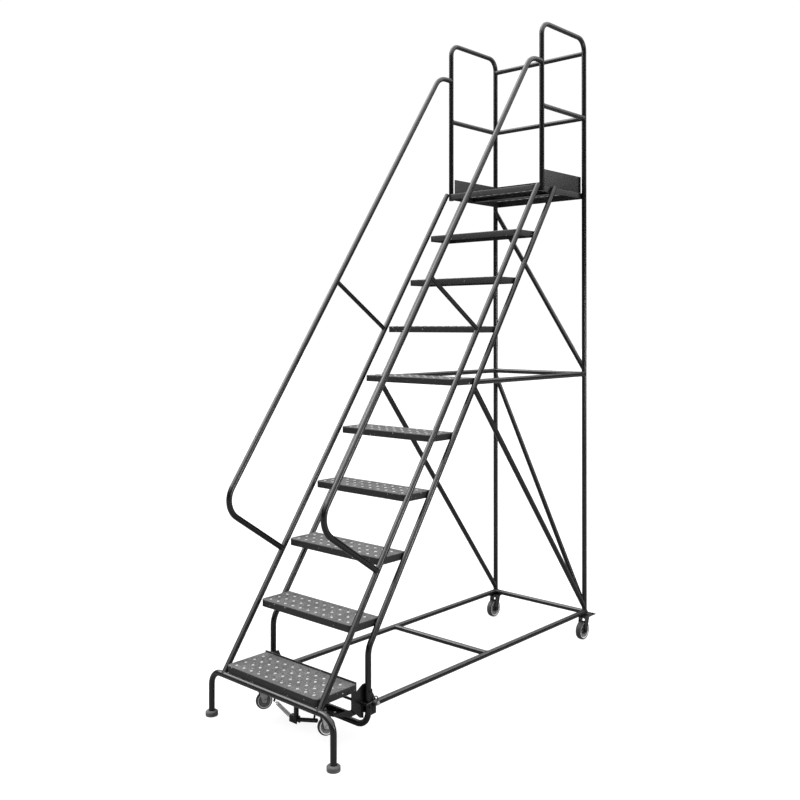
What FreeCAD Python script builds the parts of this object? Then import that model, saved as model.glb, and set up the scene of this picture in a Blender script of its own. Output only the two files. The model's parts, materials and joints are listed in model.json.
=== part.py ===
import FreeCAD, Part
# Rolling steel ladder with ten risers, a railed platform and a lock step, in millimetres.
# +X is to the right of somebody who climbs, +Y is away from them, +Z is up. The origin is on the
# floor under the middle of the whole ladder's box. Stations along Y are first counted from the
# place where the front stringers' centre line would meet the floor, and then shifted by middle.
import Sketcher
import math
import os

doc = FreeCAD.newDocument("RollingLadder")
Vector = FreeCAD.Vector
Rotation = FreeCAD.Rotation
Constraint = Sketcher.Constraint
SIDES = {"left": -1, "right": 1}
STEPS_BELOW_PLATFORM = 9
MID_BAR_STEP = 6
COIL_SHARES = (0.12, 0.88)
WHEEL_SHARES = {"rim": 0.74, "hub": 0.36, "web": 0.45}

# ---------------------------------------------------------------- driving dimensions
DIMENSIONS = {
    # steps and platform
    "tread_rise": 254, "tread_run": 174, "tread_depth": 178, "first_tread_depth": 231,
    "nose_lead": 4, "first_nose_lead": 29, "apron_height": 32, "sheet_thickness": 2.5,
    "nose_corner": 22, "rear_lip": 8, "rib_half_width": 20, "rib_drop": 8, "toe_board_height": 90,
    # tube and frame
    "tube_outer": 27, "tube_wall": 2, "frame_width": 624, "stringer_gap": 164,
    "post_station": 2210, "base_tube_height": 149, "base_tube_gap": 30,
    "mid_cross_station": 1289, "mid_bar_drop": 19, "brace_setback": 26,
    "leg_bend_height": 393, "leg_bend_radius": 100, "leg_splice_height": 190,
    "loop_height": 58, "loop_radius": 65,
    # front legs and feet
    "stance_width": 800, "front_tube_gap": 0.5, "front_radius": 65,
    "foot_diameter": 57, "foot_height": 24, "foot_chamfer": 5, "foot_floor": 8, "foot_edge": 2,
    # guard rails and handrails
    "guard_height": 876, "guard_radius": 65, "guard_front_station": 1776,
    "guard_mid_height": 427, "guard_rear_height": 798, "guard_splice_height": 112,
    "handrail_offset": 433, "handrail_radius": 100, "handrail_top_height": 664,
    "handrail_low_height": 960, "handrail_support_height": 1762, "support_outer": 22,
    # rear casters
    "rear_wheel_diameter": 101.6, "rear_wheel_width": 32, "rear_axle_diameter": 12,
    "rear_wheel_setback": 23, "rear_plate_length": 115, "rear_plate_width": 84,
    "plate_thickness": 4, "rear_plate_setback": 3,
    # lock step: yoke, front casters, lock bar
    "bracket_thickness": 5, "pivot_setback": 35, "pivot_drop": 31, "pivot_diameter": 12,
    "yoke_travel": 17.8, "yoke_arm_thickness": 5, "side_play": 2, "yoke_deck_drop": 35,
    "yoke_beam_size": 25, "yoke_beam_reach": 138,
    "swivel_spacing": 408, "swivel_reach": 186, "swivel_trail": 20, "swivel_yaw": -25,
    "front_wheel_diameter": 76, "front_wheel_width": 22, "front_axle_diameter": 10,
    "caster_headroom": 19, "caster_plate_length": 76, "race_diameter": 50, "race_height": 7,
    "fork_thickness": 3,
    "center_lead": 168, "center_pin_height": 44, "center_post_outer": 22,
    "lock_bar_outer": 18, "lock_bar_reach": 132, "lock_bar_rise": 32, "eye_width": 14,
    "spring_outer": 18, "spring_wire": 2.4,
    "release_lead": 28, "release_height": 165, "release_rod_outer": 12,
    "ring_setback": 25, "ring_height": 172, "ring_radius": 15, "ring_wire": 5,
    # side bracket's outline
    "bracket_lap": 28, "bracket_front_drop": 57, "bracket_slant": 70, "bracket_slant_drop": 14,
    "bracket_foot_drop": 25, "bracket_back_gap": 64, "bracket_back_drop": 22,
    "bracket_base_rise": 6, "bracket_shoulder": 8, "bracket_ear": 18, "bracket_ear_rise": 20,
    "bracket_heel": 6, "notch_margin": 1,
    # casters' cheeks and wheels' sections
    "rear_cheek_half": 13, "rear_cheek_inset": 34, "rear_cheek_corner": 10,
    "crown_front": 22, "crown_back": 24, "front_cheek_half": 10, "front_cheek_front": 20,
    "front_cheek_corner": 8, "race_gap": 0.5, "web_fillet": 1.5, "tyre_shoulder": 3,
    "tyre_side": 5, "rim_step": 1,
    # yoke's arms and lugs
    "arm_end_half": 17, "arm_end_corner": 12, "arm_neck_front": 58, "arm_neck_back": 12,
    "arm_neck_drop": 14, "arm_beam_lap": 10, "arm_beam_rise": 2, "arm_front_rise": 4,
    "deck_margin": 2, "wing_margin": 16, "lug_half": 2.5, "lug_reach": 9, "lug_lap": 8,
    "lug_gap": 1, "lug_inset": 2, "spring_lug_offset": 24,
    # centre post, lock bar and spring
    "cheek_drop": 14, "cheek_rise": 12, "cheek_left": 34, "cheek_right": 14,
    "cheek_thickness": 4, "eye_gap": 0.5, "eye_wall": 5.5, "spring_pin_offset": 28,
    "spring_pin_radius": 3, "bar_start": 12, "neck_reach": 20, "hook_side": 6,
    "hook_rise": 2.2, "hook_lug_side": 4, "hook_lug_rise": 5, "ring_gap": 1, "ring_foot": 4,
    # fasteners and running fits
    "splice_bolt_rise": 28, "splice_bolt_drop": 40, "base_bolt_setback": 17,
    "pivot_bolt_gap": 1, "envelope_reach": 20, "hexagon_share": 0.85,
    "bolt_diameter": 10, "bolt_head": 6, "running_clearance": 0.05, "open_clearance": 2,
}

sheet = doc.addObject("Spreadsheet::Sheet", "dims")
for row, (alias, number) in enumerate(DIMENSIONS.items(), start=1):
    sheet.set(f"A{row}", str(number))
    sheet.setAlias(f"A{row}", alias)
doc.recompute()


class Size:
    """A number from the sheet, with the formula that binds it."""

    def __init__(self, value, text):
        self.value = float(value)
        self.text = text

    def __add__(self, other):
        other = as_size(other)
        return Size(self.value + other.value, f"({self.text} + {other.text})")

    def __sub__(self, other):
        other = as_size(other)
        return Size(self.value - other.value, f"({self.text} - {other.text})")

    def __mul__(self, other):
        other = as_size(other)
        return Size(self.value * other.value, f"({self.text} * {other.text})")

    def __truediv__(self, other):
        other = as_size(other)
        return Size(self.value / other.value, f"({self.text} / {other.text})")

    def __radd__(self, other):
        return as_size(other) + self

    def __rsub__(self, other):
        return as_size(other) - self

    def __rmul__(self, other):
        return as_size(other) * self

    def __neg__(self):
        return self * -1


def as_size(number):
    """A plain number as a Size, and a Size as it is."""
    if isinstance(number, Size):
        return number
    return Size(number, f"({number})")


def root(number):
    return Size(math.sqrt(number.value), f"sqrt({number.text})")


def cosine(angle):
    return Size(math.cos(math.radians(angle.value)), f"cos({angle.text})")


def sine(angle):
    return Size(math.sin(math.radians(angle.value)), f"sin({angle.text})")


def turn(across, along):
    """The angle in degrees whose tangent is across over along."""
    across, along = as_size(across), as_size(along)
    degrees = math.degrees(math.atan2(across.value, along.value))
    return Size(degrees, f"atan2({across.text}; {along.text})")


class Named:
    """The sheet's cells as attributes."""


dims = Named()
for alias in DIMENSIONS:
    setattr(dims, alias, Size(sheet.get(alias), f"dims.{alias}"))

# ---------------------------------------------------------------- derived places
tube_radius = dims.tube_outer / 2
slope = dims.tread_run / dims.tread_rise
slope_length = root(slope * slope + 1)
half_frame = dims.frame_width / 2
inner_face = half_frame - tube_radius
half_stance = dims.stance_width / 2
platform_height = dims.tread_rise * (STEPS_BELOW_PLATFORM + 1)
front_tube_height = dims.tread_rise - dims.apron_height - tube_radius - dims.front_tube_gap
mid_bar_height = dims.tread_rise * MID_BAR_STEP - dims.mid_bar_drop
pivot_height = dims.base_tube_height - dims.pivot_drop
caster_height = dims.front_wheel_diameter + dims.caster_headroom
front_station = slope * front_tube_height
leg_station = slope * dims.leg_bend_height + dims.stringer_gap
base_tube_start = leg_station + dims.base_tube_gap
pivot_station = leg_station + dims.pivot_setback
center_station = pivot_station - dims.center_lead
rear_plate_middle = dims.post_station - dims.rear_plate_setback
front_edge = front_station - dims.foot_diameter / 2
rear_edge = rear_plate_middle + dims.rear_plate_length / 2
middle = (front_edge + rear_edge) / 2


def along(station):
    """A station counted from the stringers' foot, as Y in the part's frame."""
    return station - middle


def front_line(height):
    """Y of the front stringers' centre line at a height."""
    return along(slope * height)


def rear_line(height):
    """Y of the rear stringers' centre line at a height."""
    return along(slope * height + dims.stringer_gap)


leg_y = rear_line(dims.leg_bend_height)
post_y = along(dims.post_station)
guard_y = along(dims.guard_front_station)
front_y = along(front_station)
pivot_y = along(pivot_station)
center_y = along(center_station)
release_y = along(leg_station - dims.release_lead)
guard_top = platform_height + dims.guard_height
apron_bottom = platform_height - dims.apron_height

nodes = {}


# ---------------------------------------------------------------- building blocks
def bind(thing, prop, number):
    """Binds one property to the sheet."""
    thing.setExpression(prop, as_size(number).text)


def place(thing, x, y, z):
    """Binds where a piece's own origin stands."""
    for axis, number in zip("xyz", (x, y, z)):
        bind(thing, f".Placement.Base.{axis}", number)
    return thing


def keep(label, thing):
    """Makes a finished piece a node."""
    thing.Label = label
    nodes[label] = thing
    return thing


def box(name, low, high):
    """A block from its lowest corner to its highest."""
    block = doc.addObject("Part::Box", name)
    for prop, start, end in zip(("Length", "Width", "Height"), low, high):
        bind(block, prop, as_size(end) - start)
    return place(block, *low)


def rod(name, start, end, radius):
    """A round bar between two points of one plane square to X or to Y."""
    (x0, y0, z0), (x1, y1, z1) = start, end
    bar = doc.addObject("Part::Cylinder", name)
    bind(bar, "Radius", radius)
    up = as_size(z1) - z0
    if as_size(x0).value == as_size(x1).value:
        across = as_size(y1) - y0
        bar.Placement = FreeCAD.Placement(Vector(), Rotation(Vector(1, 0, 0), 1))
        angle = turn(-across, up)
    else:
        across = as_size(x1) - x0
        bar.Placement = FreeCAD.Placement(Vector(), Rotation(Vector(0, 1, 0), 1))
        angle = turn(across, up)
    bind(bar, "Height", root(across * across + up * up))
    bind(bar, ".Placement.Rotation.Angle", angle)
    return place(bar, x0, y0, z0)


def cut(name, base, *tools):
    """The base without each of the tools."""
    for number, tool in enumerate(tools, start=1):
        result = doc.addObject("Part::Cut", f"{name}_cut{number}")
        result.Base = base
        result.Tool = tool
        base = result
    return base


def fuse(name, *pieces):
    """Pieces welded into one solid."""
    result = doc.addObject("Part::MultiFuse", f"{name}_fuse")
    result.Shapes = list(pieces)
    result.Refine = True
    return result


def group(name, *pieces):
    """Separate solids kept in one node."""
    result = doc.addObject("Part::Compound", f"{name}_group")
    result.Links = list(pieces)
    return result


def tube(name, start, end, outer, wall, *mates):
    """A straight tube, its ends notched round the tubes that it is welded to."""
    solid = rod(f"{name}_outer", start, end, outer / 2)
    bore = rod(f"{name}_bore", start, end, outer / 2 - wall)
    return cut(name, solid, bore, *mates)


def frame_tube(name, start, end, *mates):
    return tube(name, start, end, dims.tube_outer, dims.tube_wall, *mates)


def new_sketch(body, name, plane):
    """A sketch on one of the body's own origin planes."""
    sketch = body.newObject("Sketcher::SketchObject", name)
    planes = {feature.Role: feature for feature in body.Origin.OriginFeatures}
    sketch.AttachmentSupport = [(planes[plane], "")]
    sketch.MapMode = "FlatFace"
    return sketch


def pin(sketch, item, end, across, up):
    """Ties a point of the sketch to its two coordinates."""
    for kind, axis, number in (("DistanceX", -2, across), ("DistanceY", -1, up)):
        if as_size(number).value == 0:
            sketch.addConstraint(Constraint("PointOnObject", item, end, axis))
        else:
            row = sketch.addConstraint(Constraint(kind, item, end, as_size(number).value))
            bind(sketch, f"Constraints[{row}]", number)


def point(pair):
    return Vector(as_size(pair[0]).value, as_size(pair[1]).value, 0)


def ring(sketch, center, radius):
    """A circle tied to its centre and radius."""
    circle = Part.Circle(point(center), Vector(0, 0, 1), as_size(radius).value)
    item = sketch.addGeometry(circle, False)
    pin(sketch, item, 3, *center)
    row = sketch.addConstraint(Constraint("Radius", item, as_size(radius).value))
    bind(sketch, f"Constraints[{row}]", radius)


def rounded_line(sketch, corners, radii, closed):
    """Straight runs through the corners, with an arc tangent to both runs where a radius is given."""
    count = len(corners)
    places = [point(corner) for corner in corners]
    inner = range(count) if closed else range(1, count - 1)
    leave = {number: places[number] for number in range(count)}
    reach = dict(leave)
    arcs = {}
    for number in inner:
        if radii[number] is None:
            continue
        here = places[number]
        back = (places[number - 1] - here).normalize()
        ahead = (places[(number + 1) % count] - here).normalize()
        half = back.getAngle(ahead) / 2
        size = as_size(radii[number]).value
        reach[number] = here + back * (size / math.tan(half))
        leave[number] = here + ahead * (size / math.tan(half))
        center = here + (back + ahead).normalize() * (size / math.sin(half))
        left_turn = ahead.cross(back).z > 0
        first, last = (reach[number], leave[number]) if left_turn else (leave[number], reach[number])
        start = math.atan2(first.y - center.y, first.x - center.x)
        end = math.atan2(last.y - center.y, last.x - center.x)
        end += 2 * math.pi if end < start else 0
        arcs[number] = (Part.ArcOfCircle(Part.Circle(center, Vector(0, 0, 1), size), start, end),
                        left_turn)
    runs = []
    for number in range(count if closed else count - 1):
        segment = Part.LineSegment(leave[number], reach[(number + 1) % count])
        runs.append(sketch.addGeometry(segment, False))
    if not closed:
        pin(sketch, runs[0], 1, *corners[0])
        pin(sketch, runs[-1], 2, *corners[-1])
    for number in inner:
        before = runs[number - 1]
        after = runs[number % len(runs)]
        if number not in arcs:
            sketch.addConstraint(Constraint("Coincident", before, 2, after, 1))
            pin(sketch, before, 2, *corners[number])
            continue
        arc, left_turn = arcs[number]
        item = sketch.addGeometry(arc, False)
        near, far = (1, 2) if left_turn else (2, 1)
        sketch.addConstraint(Constraint("Tangent", before, 2, item, near))
        sketch.addConstraint(Constraint("Tangent", item, far, after, 1))
        row = sketch.addConstraint(Constraint("Radius", item, as_size(radii[number]).value))
        bind(sketch, f"Constraints[{row}]", radii[number])
        corner = sketch.addGeometry(Part.Point(places[number]), True)
        sketch.addConstraint(Constraint("PointOnObject", corner, 1, before))
        sketch.addConstraint(Constraint("PointOnObject", corner, 1, after))
        pin(sketch, corner, 1, *corners[number])


def bent_tube(name, plane, offset, corners, radius, outer, wall, *mates):
    """One tube bent in a plane square to X (YZ) or to Y (XZ), at that offset from the origin."""
    body = doc.addObject("PartDesign::Body", f"{name}_body")
    path = new_sketch(body, f"{name}_path", f"{plane}_Plane")
    rounded_line(path, corners, [radius] * len(corners), False)
    first, second = corners[0], corners[1]
    upright = as_size(first[0]).value == as_size(second[0]).value
    section = new_sketch(body, f"{name}_section", "XY_Plane" if upright else "XZ_Plane")
    if upright:
        bind(section, ".AttachmentOffset.Base.z", first[1])
        center = (0, first[0]) if plane == "YZ" else (first[0], 0)
    else:
        bind(section, ".AttachmentOffset.Base.z", -as_size(first[0]))
        center = (0, first[1])
    ring(section, center, outer / 2)
    ring(section, center, outer / 2 - wall)
    pipe = body.newObject("PartDesign::AdditivePipe", f"{name}_pipe")
    pipe.Profile = section
    pipe.Spine = (path, [])
    place(body, *((offset, 0, 0) if plane == "YZ" else (0, offset, 0)))
    return cut(name, body, *mates)


def plate(name, plane, outline, radii, thickness, holes=()):
    """A flat plate cut to an outline, with round holes, grown along the plane's normal."""
    body = doc.addObject("PartDesign::Body", f"{name}_body")
    sketch = new_sketch(body, f"{name}_outline", f"{plane}_Plane")
    rounded_line(sketch, outline, radii, True)
    for center, radius in holes:
        ring(sketch, center, radius)
    pad = body.newObject("PartDesign::Pad", f"{name}_pad")
    pad.Profile = sketch
    bind(pad, "Length", thickness)
    return body


def turned(name, outline, radii):
    """A solid turned about its own Z axis, from (radius, height) corners."""
    body = doc.addObject("PartDesign::Body", f"{name}_body")
    sketch = new_sketch(body, f"{name}_profile", "XZ_Plane")
    rounded_line(sketch, outline, radii, True)
    spin = body.newObject("PartDesign::Revolution", f"{name}_spin")
    spin.Profile = sketch
    spin.ReferenceAxis = (sketch, ["V_Axis"])
    spin.Angle = 360
    return body


def across_x(body, x, y, z):
    """Lays a turned piece along X and places it."""
    body.Placement = FreeCAD.Placement(Vector(), Rotation(Vector(0, 1, 0), 90))
    return place(body, x, y, z)


def bolt(name, side, inner_x, outer_x, y, z, diameter):
    """A hexagon bolt along X: head inside, shank through the grip, nut outside."""
    head_width = diameter * dims.hexagon_share
    low, high = (inner_x, outer_x) if side > 0 else (-as_size(outer_x), -as_size(inner_x))
    shank = rod(f"{name}_shank", (low, y, z), (high, y, z), diameter / 2)
    ends = []
    for end, start in (("low", low - dims.bolt_head), ("high", high)):
        hexagon = doc.addObject("Part::Prism", f"{name}_{end}")
        hexagon.Polygon = 6
        bind(hexagon, "Circumradius", head_width)
        bind(hexagon, "Height", dims.bolt_head)
        ends.append(across_x(hexagon, start, y, z))
    return fuse(name, shank, *ends), shank


# ---------------------------------------------------------------- outlines of the mating tubes
def envelope(name, start, end, outer=dims.tube_outer):
    """The outside of a tube as a solid, which notches whatever is welded to it."""
    return rod(f"{name}_envelope", start, end, outer / 2)


front_envelope = envelope("front", (-half_frame - dims.envelope_reach, front_y, front_tube_height),
                          (half_frame + dims.envelope_reach, front_y, front_tube_height))
frames = {}
for word, side in SIDES.items():
    x = half_frame * side
    shapes = frames[word] = {}
    shapes["front"] = envelope(f"front_{word}", (x, front_line(0), 0),
                               (x, front_line(platform_height), platform_height))
    shapes["rear"] = envelope(f"rear_{word}", (x, rear_line(0), 0),
                              (x, rear_line(platform_height), platform_height))
    shapes["post"] = envelope(f"post_{word}", (x, post_y, 0), (x, post_y, guard_top))
    shapes["guard"] = envelope(f"guard_{word}", (x, guard_y, apron_bottom),
                               (x, guard_y, guard_top))
    shapes["base"] = envelope(f"base_{word}", (x, along(0), dims.base_tube_height),
                              (x, post_y + dims.rear_plate_length, dims.base_tube_height))
    shapes["bar"] = envelope(f"bar_{word}", (x, along(0), mid_bar_height),
                             (x, post_y, mid_bar_height))
rear_bar_envelope = envelope("rear_bar", (-half_frame, post_y, mid_bar_height),
                             (half_frame, post_y, mid_bar_height))
rear_base_envelope = envelope("rear_base", (-half_frame, post_y, dims.base_tube_height),
                              (half_frame, post_y, dims.base_tube_height))
mid_rail_height = platform_height + dims.guard_mid_height
rear_rail_envelope = envelope("rear_rail", (-half_frame, post_y, mid_rail_height),
                              (half_frame, post_y, mid_rail_height))
brace_top = mid_bar_height - dims.brace_setback
brace_foot = dims.base_tube_height + dims.brace_setback
right_brace_envelope = envelope("right_brace", (half_frame, rear_line(brace_top), brace_top),
                                (half_frame, post_y, brace_foot))

# ---------------------------------------------------------------- lock-step places
yoke_angle = dims.yoke_travel
wheel_drop = dims.yoke_deck_drop + caster_height - dims.front_wheel_diameter / 2
arm_outer = inner_face - dims.bracket_thickness - dims.side_play
arm_inner = arm_outer - dims.yoke_arm_thickness
half_swivel = dims.swivel_spacing / 2
lock_slope = dims.lock_bar_rise / dims.lock_bar_reach
lug_x = dims.lock_bar_reach - dims.lock_bar_outer / 2 - dims.lug_inset
lock_top = (dims.center_pin_height + lock_slope * lug_x
            + dims.lock_bar_outer / 2 * root(lock_slope * lock_slope + 1))
yoke_pose = FreeCAD.Placement(Vector(0, pivot_y.value, pivot_height.value),
                              Rotation(Vector(1, 0, 0), -yoke_angle.value))

# ---------------------------------------------------------------- fasteners
bolts = []
shanks = {"left": {}, "right": {}}
splice_bolts = {"stringer": dims.leg_splice_height + dims.splice_bolt_rise,
                "loop": dims.leg_splice_height - dims.splice_bolt_drop}
base_bolt_y = along(base_tube_start) + dims.base_bolt_setback
for word, side in SIDES.items():
    grip = (inner_face - dims.bracket_thickness, half_frame + tube_radius)
    for end, height in splice_bolts.items():
        piece, shank = bolt(f"{end}_bolt_{word}", side, *grip, leg_y, height, dims.bolt_diameter)
        bolts.append(piece)
        shanks[word][end] = shank
    piece, shank = bolt(f"base_bolt_{word}", side, *grip, base_bolt_y, dims.base_tube_height,
                        dims.bolt_diameter)
    bolts.append(piece)
    shanks[word]["base"] = shank
    pivot_grip = (arm_inner - dims.pivot_bolt_gap, inner_face)
    piece, shank = bolt(f"pivot_bolt_{word}", side, *pivot_grip, pivot_y, pivot_height,
                        dims.pivot_diameter)
    bolts.append(piece)
    shanks[word]["pivot"] = shank
keep("frame_bolts", group("frame_bolts", *bolts))

# ---------------------------------------------------------------- front legs and rubber feet
keep("front_leg_tube", bent_tube(
    "front_leg_tube", "XZ", front_y,
    [(-half_stance, dims.foot_floor), (-half_stance, front_tube_height),
     (half_stance, front_tube_height), (half_stance, dims.foot_floor)],
    dims.front_radius, dims.tube_outer, dims.tube_wall))
for word, side in SIDES.items():
    foot_radius = dims.foot_diameter / 2
    foot = turned(f"foot_{word}", [
        (0, 0), (foot_radius - dims.foot_edge, 0), (foot_radius, dims.foot_edge),
        (foot_radius, dims.foot_height - dims.foot_chamfer),
        (foot_radius - dims.foot_chamfer, dims.foot_height), (tube_radius, dims.foot_height),
        (tube_radius, dims.foot_floor), (0, dims.foot_floor)], [None] * 8)
    keep(f"rubber_foot_{word}", place(foot, half_stance * side, front_y, 0))

# ---------------------------------------------------------------- stringers and lower loop
stringer_top = platform_height - dims.sheet_thickness
for word, side in SIDES.items():
    x = half_frame * side
    keep(f"front_stringer_{word}", frame_tube(
        f"front_stringer_{word}",
        (x, front_y, front_tube_height), (x, front_line(stringer_top), stringer_top),
        front_envelope))
    keep(f"rear_stringer_{word}", bent_tube(
        f"rear_stringer_{word}", "YZ", x,
        [(leg_y, dims.leg_splice_height), (leg_y, dims.leg_bend_height),
         (rear_line(stringer_top), stringer_top)],
        dims.leg_bend_radius, dims.tube_outer, dims.tube_wall, shanks[word]["stringer"]))
keep("lower_leg_loop", bent_tube(
    "lower_leg_loop", "XZ", leg_y,
    [(-half_frame, dims.leg_splice_height), (-half_frame, dims.loop_height),
     (half_frame, dims.loop_height), (half_frame, dims.leg_splice_height)],
    dims.loop_radius, dims.tube_outer, dims.tube_wall,
    shanks["left"]["loop"], shanks["right"]["loop"]))


# ---------------------------------------------------------------- treads and platform
def pan(name, nose, back, top, corner):
    """A sheet-metal step: flat top, apron all round, rounded corners at the nose, open below."""
    solids = []
    for label, inset, depth in (("skin", 0, dims.apron_height),
                                ("hollow", dims.sheet_thickness,
                                 dims.apron_height - dims.sheet_thickness)):
        side_x = inner_face - inset
        outline = [(-side_x, nose + inset), (side_x, nose + inset),
                   (side_x, back - inset), (-side_x, back - inset)]
        radii = [corner - inset, corner - inset, None, None]
        block = plate(f"{name}_{label}", "XY", outline, radii, depth)
        solids.append(place(block, 0, 0, top - dims.apron_height))
    return cut(name, *solids)


for number in range(1, STEPS_BELOW_PLATFORM + 1):
    top = dims.tread_rise * number
    nose = front_line(top) - (dims.first_nose_lead if number == 1 else dims.nose_lead)
    back = nose + (dims.first_tread_depth if number == 1 else dims.tread_depth)
    step = pan(f"tread_{number}", nose, back, top, dims.nose_corner)
    if number == 1:
        first_underside = top - dims.apron_height
        first_back = back
        lip = box("tread_1_lip", (-inner_face, back - dims.sheet_thickness, top),
                  (inner_face, back, top + dims.rear_lip))
        step = fuse("tread_1", step, lip)
    keep(f"tread_{number}", step)

platform_nose = front_line(platform_height) - dims.nose_lead
platform_back = post_y + tube_radius
deck_pan = pan("platform", platform_nose, platform_back, platform_height, dims.nose_corner)
rib_middle = (platform_nose + platform_back) / 2
rib = box("platform_rib", (-inner_face + dims.sheet_thickness,
                           rib_middle - dims.rib_half_width, apron_bottom + dims.rib_drop),
          (inner_face - dims.sheet_thickness, rib_middle + dims.rib_half_width,
           platform_height - dims.sheet_thickness))
keep("platform_deck", fuse("platform_deck", deck_pan, rib))

toe_front = guard_y + tube_radius
toe_back = post_y - tube_radius
toe_top = platform_height + dims.toe_board_height
for word, side in SIDES.items():
    faces = sorted((inner_face * side, (inner_face - dims.sheet_thickness) * side),
                   key=lambda face: face.value)
    keep(f"toe_board_{word}", box(f"toe_board_{word}", (faces[0], toe_front, platform_height),
                                  (faces[1], toe_back, toe_top)))
toe_inner = inner_face - dims.sheet_thickness
keep("toe_board_rear", box(
    "toe_board_rear", (-toe_inner, toe_back - dims.sheet_thickness, platform_height),
    (toe_inner, toe_back, toe_top)))

# ---------------------------------------------------------------- rear posts and guard rails
guard_splice = platform_height + dims.guard_splice_height
for word, side in SIDES.items():
    x = half_frame * side
    shapes = frames[word]
    keep(f"rear_post_{word}", frame_tube(
        f"rear_post_{word}", (x, post_y, dims.base_tube_height), (x, post_y, guard_splice),
        shapes["base"], rear_base_envelope))
    keep(f"guard_rail_{word}", bent_tube(
        f"guard_rail_{word}", "YZ", x,
        [(guard_y, apron_bottom), (guard_y, guard_top), (post_y, guard_top),
         (post_y, guard_splice)],
        dims.guard_radius, dims.tube_outer, dims.tube_wall))
    keep(f"guard_mid_rail_{word}", frame_tube(
        f"guard_mid_rail_{word}", (x, guard_y, mid_rail_height), (x, post_y, mid_rail_height),
        shapes["guard"], shapes["post"], rear_rail_envelope))
for label, rise in (("guard_mid_rail_rear", dims.guard_mid_height),
                    ("guard_top_rail_rear", dims.guard_rear_height)):
    height = platform_height + rise
    keep(label, frame_tube(label, (-half_frame, post_y, height), (half_frame, post_y, height),
                           frames["left"]["post"], frames["right"]["post"]))

# ---------------------------------------------------------------- handrails and their supports
rail_shift = dims.handrail_offset * slope_length
across_step = dims.handrail_offset / slope_length
down_step = dims.handrail_offset * slope / slope_length


def rail_line(height):
    """Y of the handrails' centre line at a height."""
    return front_line(height) - rail_shift


rail_top = platform_height + dims.handrail_top_height
low_rail_y = rail_line(dims.handrail_low_height)
for word, side in SIDES.items():
    x = half_frame * side
    shapes = frames[word]
    rail_envelope = envelope(f"rail_{word}", (x, low_rail_y, dims.handrail_low_height),
                             (x, rail_line(rail_top), rail_top))
    keep(f"handrail_{word}", bent_tube(
        f"handrail_{word}", "YZ", x,
        [(guard_y, rail_top), (rail_line(rail_top), rail_top),
         (low_rail_y, dims.handrail_low_height),
         (low_rail_y + across_step, dims.handrail_low_height - down_step)],
        dims.handrail_radius, dims.tube_outer, dims.tube_wall,
        shapes["guard"], shapes["front"]))
    foot_y = front_line(dims.handrail_support_height)
    keep(f"handrail_support_{word}", tube(
        f"handrail_support_{word}", (x, foot_y, dims.handrail_support_height),
        (x, foot_y - across_step, dims.handrail_support_height + down_step),
        dims.support_outer, dims.tube_wall, shapes["front"], rail_envelope))

# ---------------------------------------------------------------- base, bars and braces
for word, side in SIDES.items():
    x = half_frame * side
    keep(f"base_side_tube_{word}", frame_tube(
        f"base_side_tube_{word}", (x, along(base_tube_start), dims.base_tube_height),
        (x, post_y + tube_radius, dims.base_tube_height), shanks[word]["base"]))
cross_tubes = []
for label, y in (("mid", along(dims.mid_cross_station)), ("rear", post_y)):
    cross_tubes.append(frame_tube(
        f"base_cross_{label}", (-half_frame, y, dims.base_tube_height),
        (half_frame, y, dims.base_tube_height), frames["left"]["base"],
        frames["right"]["base"]))
keep("base_cross_tubes", group("base_cross_tubes", *cross_tubes))

side_bars = []
braces = []
for word, side in SIDES.items():
    x = half_frame * side
    shapes = frames[word]
    side_bars.append(frame_tube(
        f"side_bar_{word}", (x, rear_line(mid_bar_height), mid_bar_height),
        (x, post_y, mid_bar_height), shapes["rear"], shapes["post"], rear_bar_envelope))
    braces.append(frame_tube(
        f"side_brace_{word}", (x, rear_line(brace_top), brace_top), (x, post_y, brace_foot),
        shapes["rear"], shapes["bar"], shapes["post"], shapes["base"]))
keep("mid_side_bars", group("mid_side_bars", *side_bars))
keep("side_diagonals", group("side_diagonals", *braces))
keep("mid_rear_bar", frame_tube(
    "mid_rear_bar", (-half_frame, post_y, mid_bar_height),
    (half_frame, post_y, mid_bar_height), frames["left"]["post"], frames["right"]["post"]))
upper_brace = frame_tube(
    "upper_rear_brace", (-half_frame, post_y, apron_bottom - dims.brace_setback),
    (half_frame, post_y, mid_bar_height + dims.brace_setback),
    frames["left"]["post"], frames["right"]["post"], rear_bar_envelope)
lower_brace = frame_tube(
    "lower_rear_brace", (-half_frame, post_y, brace_top), (half_frame, post_y, brace_foot),
    frames["left"]["post"], frames["right"]["post"], rear_bar_envelope,
    rear_base_envelope, frames["right"]["base"], right_brace_envelope)
keep("rear_diagonals", group("rear_diagonals", upper_brace, lower_brace))

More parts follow.
